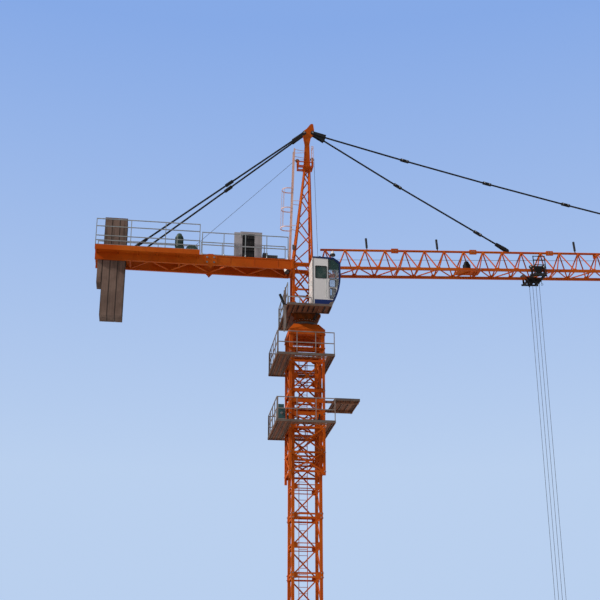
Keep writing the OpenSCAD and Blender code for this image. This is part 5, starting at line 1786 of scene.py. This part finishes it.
@dataclass
class JibDetail:
    """Joint plates, pins and node plates along the jib."""

    half: float = 0.293
    chord: float = 0.064
    height: float = 0.64

    def build(self) -> None:
        """Builds the jib's small parts."""
        self.joint_pins()
        self.nodes()

    def joint_pins(self) -> Piece:
        """Pins and side plates where two jib sections meet."""
        jib = SIZES.jib()
        outline = Workshop.softened([(-0.11, -0.028), (0.11, -0.028), (0.11, 0.028), (-0.11, 0.028)], 0.05)
        plate = Workshop.plate(outline, 0.008, UPRIGHT, 0.002)
        plates, pins = [], []
        for i in range(1, SIZES.jib_sections + 1):
            u = SIZES.section_l * i
            for s in SIDES:
                face = s * (self.half + self.chord / 2 + 0.004)
                plates.append(jib @ Matrix.Translation((u, face, 0)))
                for du in (-0.055, 0.055):
                    pins.append(jib @ turned((u + du, s * (self.half + self.chord / 2 + 0.008), 0), (0, s, 0)))
                    pins.append(jib @ turned((u + du * 0.6, s * 0.024, self.height), (0, s, 0)))
        plates_obj = Workshop.repeat(plate, plates)
        pins_obj = Workshop.repeat(Workshop.bolt(0.015, 0.014, 0.006), pins)
        Workshop.fit(pins_obj, "jib_pins", Finish.PIN, "crane_paint")
        return Workshop.fit(plates_obj, "jib_joint_plates", Finish.CRANE, "crane_paint")

    def nodes(self) -> Piece:
        """Plates where the side braces meet the lower chords and cross bars."""
        jib = SIZES.jib()
        outline = [(-0.075, 0.0), (0.075, 0.0), (0.045, 0.055), (-0.045, 0.055)]
        lean = math.atan2(self.half, self.height)
        upright = UPRIGHT
        plate = Workshop.plate(outline, 0.006, HERE, 0.0015)
        places = []
        count = SIZES.jib_sections * 4 + 2
        for j in range(1, count):
            if j % 4 == 0:
                continue
            for s in SIDES:
                at = Matrix.Translation((SIZES.bay * j, s * self.half, self.chord / 2 - 0.002))
                places.append(jib @ at @ Matrix.Rotation(s * lean, 4, "X") @ upright)
        return Workshop.spread(plate, places, "jib_node_plates", Finish.CRANE, "crane_paint")


@dataclass
class TieDetail:
    """Coupling pins on the tie rods, and the link plates at the short tie's foot."""

    short: tuple[tuple[float, float], ...] = ((2.598, 14.946), (4.798, 13.66))
    long: tuple[tuple[float, float], ...] = (
        (2.824, 15.759), (5.16, 15.208), (7.411, 14.71), (9.7, 14.235), (11.95, 13.80)
    )

    def foot_links(self) -> Piece:
        """Black link plates at the short tie's lower end."""
        a, b = Vector((5.30, 0, 13.362)), Vector((5.61, 0, 13.178))
        middle, angle = (a + b) / 2, math.atan2(a.z - b.z, b.x - a.x)
        half = (b - a).length / 2 + 0.02
        outline = Workshop.softened(
            [
                (-half, -0.028),
                (half * 0.4, -0.044),
                (half, -0.034),
                (half, 0.034),
                (half * 0.4, 0.044),
                (-half, 0.028),
            ],
            0.02,
        )
        parts = []
        for s in SIDES:
            place = (
                Matrix.Translation((middle.x, s * 0.044, middle.z))
                @ Matrix.Rotation(angle, 4, "Y")
                @ UPRIGHT
            )
            parts.append(Workshop.plate(outline, 0.014, place, 0.003))
        return Workshop.fit(parts, "short_tie_links", Finish.BLACK, "black_steel")

    def build(self) -> Piece:
        """Builds the links and the pins through every coupling."""
        self.foot_links()
        places = []
        for points in (self.short, self.long):
            for i, (x, z) in enumerate(points):
                before = points[i - 1] if i else (0.225, 16.41)
                direction = Vector((x - before[0], 0, z - before[1])).normalized()
                for off in (-0.07, 0.07):
                    for s in SIDES:
                        at = (x + direction.x * off, s * 0.044, z + direction.z * off)
                        places.append(turned(at, (0, s, 0)))
        return Workshop.spread(
            Workshop.bolt(0.018, 0.014, 0.01), places, "tie_coupling_pins", Finish.PIN, "black_steel"
        )


# ---------------------------------------------------------------- counter-jib


@dataclass
class CounterJibDetail:
    """Web stiffeners, joint bolts, walkway gratings and rail feet of the counter-jib."""

    beam_y: float = 0.325
    end: float = 5.45
    joint: float = 2.50

    def build(self) -> None:
        """Builds the counter-jib's small parts."""
        self.stiffeners()
        self.joint_bolts()
        self.grating()
        self.rail_feet()

    def stiffeners(self) -> Piece:
        """Upright ribs on the beams' outer webs."""
        z0, z1 = SIZES.counter_z + 0.022, SIZES.counter_top - 0.022
        parts = []
        for s in SIDES:
            web = s * 0.300
            out = s * (self.beam_y - 0.002)
            for i in range(7):
                x = -0.75 - 0.62 * i
                if abs(x + self.joint) < 0.25:
                    continue
                y0, y1 = sorted((web, out))
                parts.append(Workshop.block((x - 0.005, y0, z0), (x + 0.005, y1, z1), 0.002))
        return Workshop.fit(parts, "counter_web_ribs", Finish.CRANE, "crane_paint")

    def joint_bolts(self) -> Piece:
        """Large pins in the joint's pointed plates."""
        places = []
        for s in SIDES:
            for dx in (-0.09, 0.09):
                for z in (SIZES.counter_z + 0.07, SIZES.counter_top - 0.07):
                    places.append(turned((-self.joint + dx, s * 0.338, z), (0, s, 0)))
        return Workshop.spread(
            Workshop.bolt(0.020, 0.018, 0.01), places, "counter_joint_pins", Finish.PIN, "crane_paint"
        )

    def grating(self) -> Piece:
        """Bar grating on the two side walkways."""
        bar = Workshop.block((-0.0025, -0.14, 0.0), (0.0025, 0.14, 0.012), 0.0008)
        places = []
        count = 64
        for s in SIDES:
            for i in range(count):
                x = -SIZES.walk_start - 0.02 - (self.end - SIZES.walk_start - 0.04) * i / (count - 1)
                places.append(Matrix.Translation((x, s * 0.475, SIZES.counter_top + 0.001)))
        bars = Workshop.repeat(bar, places)
        runs = []
        for s in SIDES:
            for y in (0.345, 0.41, 0.475, 0.54, 0.605):
                runs.append(
                    Workshop.block(
                        (-self.end + 0.01, s * y - 0.0025, SIZES.counter_top + 0.002),
                        (-SIZES.walk_start - 0.01, s * y + 0.0025, SIZES.counter_top + 0.015), 0.0008,
                    )
                )
        return Workshop.fit([bars, *runs], "counter_gratings", Finish.GALVANISED, "galvanised")

    def rail_feet(self) -> Piece:
        """Clamps at the feet of the rail posts."""
        places = []
        for s in SIDES:
            for i in range(5):
                places.append(Matrix.Translation((-0.48 - 0.56 * i, s * 0.311, SIZES.counter_top)))
        foot = Workshop.lathe(
            [
                (0.0, 0.0),
                (0.024, 0.0),
                (0.024, 0.006),
                (0.016, 0.010),
                (0.015, 0.05),
                (0.0105, 0.055),
                (0.0, 0.055),
            ],
            HERE,
            16,
        )
        return Workshop.spread(foot, places, "counter_rail_feet", Finish.GALVANISED, "galvanised")


@dataclass
class WinchDetail:
    """Rope turns on the drum, bolts and motor fins of the hoist winch."""

    x: float = -2.99
    z: float = 12.595
    drum_r: float = 0.115
    half: float = 0.13

    def build(self) -> None:
        """Builds the winch's small parts."""
        self.rope_turns()
        self.bolts()
        MotorDetail("winch_motor_fins", Body.UPPER, (-3.32, 0, 12.74), 0.10, 0.25, 22, "winch_green", Finish.WINCH).build(
            
        )

    def rope_turns(self) -> Piece:
        """The rope wound side by side on the drum."""
        pitch, count = 0.0105, 24
        profile = [(self.drum_r - 0.004, -self.half)]
        for i in range(count):
            y = -self.half + 0.004 + pitch * i
            for share, rise in ((0.0, 0.0), (0.25, 0.0035), (0.5, 0.005), (0.75, 0.0035)):
                profile.append((self.drum_r + rise, y + share * pitch))
        profile.append((self.drum_r - 0.004, self.half))
        place = Matrix.Translation((self.x, 0, self.z)) @ Matrix.Rotation(math.radians(-90), 4, "X")
        obj = Workshop.lathe(profile, place, 40)
        return Workshop.fit(obj, "drum_rope_turns", Finish.ROPE, "black_steel")

    def bolts(self) -> Piece:
        """Bolts of the bearing plates and the gearbox."""
        places = []
        for s in SIDES:
            for i in range(6):
                a = math.tau * i / 6
                places.append(
                    turned((self.x + 0.06 * math.cos(a), s * 0.2, self.z + 0.04 * math.sin(a)), (0, s, 0))
                )
            for dx in (-0.48, -0.3, 0.12):
                places.append(turned((self.x + dx, s * 0.29, SIZES.counter_top + 0.04), (0, 0, 1)))
        return Workshop.spread(Workshop.bolt(0.010, 0.010, 0.006), places, "winch_bolts", Finish.PIN, "winch_green")


@dataclass
class CabinetDetail:
    """Switchgear, hinges, louvres and resistor grilles of the control cabinet."""

    x0: float = -1.68
    x1: float = -1.25
    y: float = -0.225
    z: float = 12.379
    height: float = 0.806
    hinge_x: float = -1.732
    hinge_levels: tuple[float, ...] = (0.12, 0.40, 0.66)

    def build(self) -> None:
        """Builds the cabinet's parts."""
        self.switchgear()
        self.trim()

    def switchgear(self) -> Piece:
        """Rows of contactors and a drive inside the open door."""
        back = self.y + 0.030
        parts = [
            Workshop.block(
                (self.x0 + 0.004, back - 0.003, self.z + 0.065), (self.x1 - 0.004, back, self.z + 0.75), 0.001
            )
        ]
        rows = ((0.10, 0.10, 5), (0.27, 0.07, 7), (0.42, 0.12, 4), (0.62, 0.09, 6))
        for z, tall, count in rows:
            step = (self.x1 - self.x0 - 0.06) / count
            for i in range(count):
                x = self.x0 + 0.03 + step * i
                parts.append(
                    Workshop.block(
                        (x + 0.006, back - 0.024, self.z + z),
                        (x + step - 0.006, back - 0.002, self.z + z + tall),
                        0.003,
                    )
                )
            parts.append(
                Workshop.block(
                    (self.x0 + 0.02, back - 0.016, self.z + z + tall + 0.008),
                    (self.x1 - 0.02, back - 0.002, self.z + z + tall + 0.026),
                    0.002,
                )
            )
        return Workshop.fit(parts, "cabinet_switchgear", Finish.BLACK, "black_steel")

    def trim(self) -> Piece:
        """Door hinges, handle, roof lip and louvres on the far side."""
        near, z, roof = self.y - 0.004, self.z, self.z + self.height
        parts = [
            Workshop.tube((self.hinge_x, near, z + level), (self.hinge_x, near, z + level + 0.06), 0.009, 12)
            for level in self.hinge_levels
        ]
        blocks = (
            ((-1.734, near, roof), (-1.156, 0.229, roof + 0.008), 0.003),
            ((-1.355, self.y - 0.003, z + 0.058), (-1.246, self.y + 0.005, z + 0.758), 0.002),
            ((-1.684, self.y - 0.002, z + 0.372), (-1.353, self.y + 0.005, z + 0.404), 0.002),
            ((-1.872, self.y - 0.016, z + 0.36), (-1.858, self.y - 0.001, z + 0.46), 0.003),
        )
        parts += [Workshop.block(low, high, edge) for low, high, edge in blocks]
        for i in range(9):
            z = self.z + 0.16 + i * 0.05
            for x in (-1.62, -1.40):
                parts.append(Workshop.block((x, 0.224, z), (x + 0.17, 0.232, z + 0.022), 0.003))
        self.resistor_grilles()
        return Workshop.fit(parts, "cabinet_trim", Finish.CABINET, "cabinet_grey")

    def resistor_grilles(self) -> Piece:
        """Dark slats and a raised terminal box on the low resistor box beside the cabinet."""
        parts = [Workshop.block((-1.135, -0.215, self.z + 0.02), (-1.005, -0.06, self.z + 0.245), 0.008)]
        for i in range(6):
            z = self.z + 0.035 + 0.026 * i
            parts.append(Workshop.block((-1.0, -0.190, z), (-0.745, -0.179, z + 0.015), 0.002))
        for x in (-1.0, -0.875, -0.757):
            parts.append(Workshop.block((x, -0.194, self.z + 0.02), (x + 0.014, -0.179, self.z + 0.192), 0.002))
        parts.append(Workshop.block((-1.005, -0.192, self.z + 0.19), (-0.738, 0.152, self.z + 0.198), 0.002))
        return Workshop.fit(parts, "resistor_grilles", Finish.MOTOR, "motor_grey")


@dataclass
class BallastDetail:
    """Lifting eyes and stops of the concrete slabs."""

    xs: tuple[float, ...] = (-4.768, -4.960, -5.152)
    top: float = 13.33

    def build(self) -> None:
        """Builds the slabs' steel parts."""
        self.eyes()
        self.bars()

    def eyes(self) -> Piece:
        """Bent lifting loops cast into the slabs' tops."""
        loop = Workshop.pipe(
            [
                (-0.0, -0.04, -0.005),
                (0, -0.04, 0.035),
                (0, -0.02, 0.055),
                (0, 0.02, 0.055),
                (0, 0.04, 0.035),
                (0, 0.04, -0.005),
            ],
            0.007,
        )
        places = [Matrix.Translation((x, y, self.top - 0.055)) for x in self.xs for y in (-0.15, 0.15)]
        return Workshop.spread(loop, places, "slab_lifting_loops", Finish.PIN, "galvanised")

    def bars(self) -> Piece:
        """Stops that keep the slabs in place on the beams."""
        parts = []
        for s in SIDES:
            for x in (-4.64, -5.262):
                y0, y1 = sorted((s * 0.245, s * 0.318))
                parts.append(
                    Workshop.block(
                        (x - 0.012, y0, SIZES.counter_top), (x + 0.012, y1, SIZES.counter_top + 0.07), 0.003
                    )
                )
        return Workshop.fit(parts, "slab_stops", Finish.CRANE, "crane_paint")


# ---------------------------------------------------------------- trolley, hook block and lamps


@dataclass
class TrolleyDetail:
    """Axle caps, side shields, rope guards and the end ring of the trolley."""

    x: float = 6.3
    plate_y: float = 0.365

    def build(self) -> None:
        """Builds the trolley's small parts."""
        self.shields()
        self.axle_caps()

    def shields(self) -> Piece:
        """Side shields, the two pointed rope guards and the ring that holds the rope's end."""
        frame = SIZES.jib() @ Matrix.Translation(((self.x - SIZES.jib_x) / math.cos(SIZES.jib_tilt), 0, 0))
        parts = []
        for s in SIDES:
            side = frame @ Matrix.Translation((0, s * (self.plate_y + 0.003), 0)) @ UPRIGHT
            parts.append(Workshop.plate([(-0.03, -0.19), (0.08, -0.19), (0.13, 0.07), (-0.12, 0.07)], 0.006, side))
            guard = frame @ Matrix.Translation((0, s * 0.0725, 0)) @ UPRIGHT
            parts.append(Workshop.plate([(-0.25, -0.105), (-0.124, -0.345), (0.05, -0.105)], 0.008, guard))
            parts.append(Workshop.plate([(0.02, -0.13), (0.09, -0.265), (0.165, -0.13)], 0.008, guard))
        loop = [(0.026 + 0.005 * math.cos(math.tau * i / 8), 0.005 * math.sin(math.tau * i / 8)) for i in range(8)]
        parts.append(Workshop.lathe(loop, frame @ turned((0.196, -0.03, -0.30), (0.3, 1, 0)), 24))
        parts.append(
            Workshop.tube(
                tuple(frame @ Vector((0.185, -0.03, -0.18))),
                tuple(frame @ Vector((0.196, -0.03, -0.275))),
                0.006,
                8,
            )
        )
        return Workshop.fit(parts, "trolley_shields", Finish.TROLLEY, "trolley_black", Body.TROLLEY)

    def axle_caps(self) -> Piece:
        """Caps on the wheel axles."""
        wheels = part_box("trolley_wheels")
        low, high = Vector(wheels[0]), Vector(wheels[1])
        places = []
        tilt = SIZES.jib_tilt
        mid = (low + high) / 2
        for s in SIDES:
            for end in SIDES:
                x = mid.x + end * ((high.x - low.x) / 2 - 0.047)
                z = mid.z + (x - mid.x) * math.tan(tilt)
                places.append(turned((x, s * (self.plate_y + 0.0005), z), (0, s, 0)))
        hub = Workshop.lathe(
            [(0.0, 0.0), (0.026, 0.0), (0.026, 0.005), (0.018, 0.012), (0.008, 0.013), (0.0, 0.013)], HERE, 20
        )
        return Workshop.spread(hub, places, "trolley_axle_caps", Finish.PIN, "wheel_steel", Body.TROLLEY)


@dataclass
class HookDetail:
    """Cheek bolts of the hook block."""

    x: float = 6.3

    def build(self) -> None:
        """Builds the hook block's small parts."""
        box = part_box("hook_block")
        y0, y1 = box[0][1], box[1][1]
        places = []
        for y, s in ((y0, -1), (y1, 1)):
            for dx, z in ((-0.047, 1.30), (0.047, 1.30), (0.0, 1.10)):
                places.append(turned((self.x + dx, y - s * 0.001, z), (0, s, 0)))
        obj = Workshop.repeat(Workshop.bolt(0.016, 0.012, 0.006), places)
        Workshop.fit(obj, "hook_block_bolts", Finish.PIN, "wheel_steel", Body.TROLLEY)


@dataclass
class LampDetail:
    """The white floodlights with their brackets, the lug on the upper chord and the conduits."""

    def build(self) -> None:
        """Builds the lamp parts."""
        self.floodlight("jib_floodlight", (0.735, -0.14, 12.745), (-0.05, -0.12, -0.99))
        self.floodlight("counter_floodlight", (-0.53, -0.335, 12.085), (0.5, -0.35, -0.72))
        self.brackets()
        self.conduits()

    def brackets(self) -> Piece:
        """Arms that hold the floodlights, and a lug that hangs from the jib's upper chord."""
        parts = [
            Workshop.tube((0.70, 0.0, 12.895), (0.735, -0.135, 12.81), 0.010, 10),
            Workshop.tube((-0.50, -0.29, 12.16), (-0.545, -0.325, 12.10), 0.010, 10),
            Workshop.block((8.058, -0.010, 13.105), (8.118, 0.010, 13.222), 0.004),
            Workshop.tube((8.088, -0.026, 13.130), (8.088, 0.026, 13.130), 0.016, 14, 0.002),
        ]
        return Workshop.fit(parts, "lamp_brackets", Finish.CRANE, "crane_paint")

    def conduits(self) -> Piece:
        """Two stiff black conduits from the platform's underside to the turntable."""
        parts = []
        for (x0, y0), (x1, y1, z1), radius in (
            ((0.262, -0.45), (0.176, -0.345, 10.782), 0.015), ((0.312, -0.43), (0.196, -0.345, 10.768), 0.012)
        ):
            points = []
            for i in range(13):
                t = i / 12
                ease = t * t * (3 - 2 * t)
                points.append((x0 + (x1 - x0) * t, y0 + (y1 - y0) * ease, 10.916 + (z1 - 10.916) * ease))
            parts.append(Workshop.pipe(points, radius, 3))
            parts.append(Workshop.tube((x0, y0, 10.888), (x0, y0, 10.916), radius * 1.5, 14, 0.002))
        return Workshop.fit(parts, "platform_conduits", Finish.BLACK, "black_steel")

    def floodlight(self, name: str, at: Point, toward: Point) -> Piece:
        """A round white floodlight with a dark rim and a lens.

        Args:
            name: the lamp's name.
            at: the middle of its body.
            toward: where it shines.

        Returns:
            The lamp's white body.
        """
        place = turned(at, toward)
        body = Workshop.lathe(
            [(0.0, -0.075), (0.024, -0.07), (0.034, -0.04), (0.056, 0.022), (0.064, 0.040), (0.064, 0.050), (0.0, 0.050)],
            place, 28
        )
        rim = Workshop.lathe([(0.058, 0.030), (0.071, 0.030), (0.071, 0.062), (0.058, 0.062)], place, 28)
        lens = Workshop.lathe([(0.0, 0.048), (0.060, 0.048), (0.048, 0.060), (0.0, 0.066)], place, 28)
        Workshop.fit(rim, name + "_rim", Finish.BLACK, "black_steel")
        Workshop.fit(lens, name + "_lens", Finish.LENS, "cab_white")
        return Workshop.fit(body, name + "_body", Finish.CAB, "cab_white")


# ---------------------------------------------------------------- the stage


@dataclass(frozen=True)
class Stage:
    """Pale floor, soft lights and the camera at the photograph's angle."""

    camera_at: Point = (-3.876, -26.72, 0.80)
    look: Point = (0.1295, 0.9214, 0.3665)
    lens: float = 66.6
    sensor: float = 36.0
    view_end: float = 300.0
    floor_size: float = 120.0
    floor_z: float = -0.001
    floor_colour: Colour = (0.50, 0.50, 0.50)
    floor_rough: float = 0.9
    ambient: Colour = (0.88, 0.92, 1.0)
    ambient_level: float = 0.38
    sky_low: Colour = (0.49, 0.63, 0.86)
    sky_high: Colour = (0.24, 0.40, 0.79)
    sky_from: float = 0.22
    sky_to: float = 0.58
    sun_level: float = 3.4
    sun_angle: float = math.radians(4)
    sun_colour: Colour = (1.0, 0.95, 0.88)
    sun_way: Point = (0.80, 0.18, -0.57)

    def build(self) -> None:
        """Builds all of the stage."""
        self.floor()
        self.sky()
        self.sun()
        self.camera()

    def floor(self) -> None:
        """Lays the floor."""
        Workshop.clear()
        bpy.ops.mesh.primitive_plane_add(size=self.floor_size, location=(0, 0, self.floor_z))
        floor = Workshop.settle(bpy.context.active_object)
        floor.name = "floor"
        g = Graph("floor_pale")
        g.surface(self.floor_colour, self.floor_rough)
        floor.data.materials.append(g.material)

    def sky(self) -> None:
        """Sets a plain ambient light, and a sky that only the camera and the glass see."""
        world = bpy.data.worlds.new("plain_sky")
        bpy.context.scene.world = world
        world.use_nodes = True
        n = Nodes(world.node_tree)
        ambient = n.signal("ShaderNodeBackground", {}, {0: self.ambient, 1: self.ambient_level})
        direction = n.signal("ShaderNodeTexCoord", {}, {}, "Generated")
        height = n.signal("ShaderNodeSeparateXYZ", {}, {0: direction}, Axis.Z.value)
        reach = {"Value": height, "From Min": self.sky_from, "From Max": self.sky_to}
        tint = n.blend(n.signal("ShaderNodeMapRange", {}, reach), self.sky_low, self.sky_high)
        backdrop = n.signal("ShaderNodeBackground", {}, {0: tint, 1: 1.0})
        rays = [n.signal("ShaderNodeLightPath", {}, {}, kind) for kind in ("Is Camera Ray", "Is Transmission Ray")]
        mix = n.signal("ShaderNodeMixShader", {}, {0: n.math("MAXIMUM", *rays), 1: ambient, 2: backdrop})
        n.node("ShaderNodeOutputWorld", {}, {0: mix})

    def sun(self) -> None:
        """Hangs one soft sun."""
        sun = bpy.data.lights.new("soft_sun", "SUN")
        sun.energy = self.sun_level
        sun.angle = self.sun_angle
        sun.color = self.sun_colour
        obj = bpy.data.objects.new("soft_sun", sun)
        bpy.context.scene.collection.objects.link(obj)
        obj.rotation_euler = Vector(self.sun_way).to_track_quat("-Z", "Y").to_euler()

    def camera(self) -> None:
        """Sets the camera."""
        data = bpy.data.cameras.new("photo_camera")
        data.sensor_width = self.sensor
        data.lens = self.lens
        data.clip_end = self.view_end
        obj = bpy.data.objects.new("photo_camera", data)
        bpy.context.scene.collection.objects.link(obj)
        obj.location = self.camera_at
        obj.rotation_euler = Vector(self.look).to_track_quat("-Z", "Y").to_euler()
        bpy.context.scene.camera = obj


def crane_parts() -> list:
    """Every sub-assembly of small parts, in the order they are built."""
    s = SIZES
    return [
        MastDetail(),
        CageDetail(),
        DeckDetail(
            "upper_deck", Body.TOWER, s.upper_deck, -s.deck_back, s.deck_front, -s.deck_half, s.deck_half,
            s.cage_w / 2, joists=12, mesh_w=s.grating_w,
        ),
        DeckDetail(
            "lower_deck", Body.TOWER, s.lower_deck, -s.deck_back, s.deck_front, -s.deck_half, s.deck_half,
            s.cage_w / 2, joists=12, mesh_w=s.grating_w,
        ),
        DeckDetail("feed_platform", Body.TOWER, 8.625, 0.675, 1.30, -0.575, 0.575, 0.0, joists=4),
        PlatformDetail(),
        HydraulicDetail(),
        SlewingDetail(),
        MotorDetail("slewing_motor_fins", Body.UPPER, (-0.02, -0.11, 10.995), 0.056, 0.17),
        HeadDetail(),
        CabDetail(),
        SeatDetail(),
        JibDetail(),
        TieDetail(),
        CounterJibDetail(),
        WinchDetail(),
        CabinetDetail(),
        BallastDetail(),
        TrolleyDetail(),
        HookDetail(),
        LampDetail(),
    ]


def main() -> None:
    """Dresses the frame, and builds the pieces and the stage."""
    logging.basicConfig(level=logging.INFO, format="%(message)s")
    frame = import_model()
    bpy.context.scene.view_settings.view_transform = "Standard"
    FrameDress().dress(frame)
    Stage().build()
    for part in crane_parts():
        part.build()


if __name__ == "__main__":
    main()
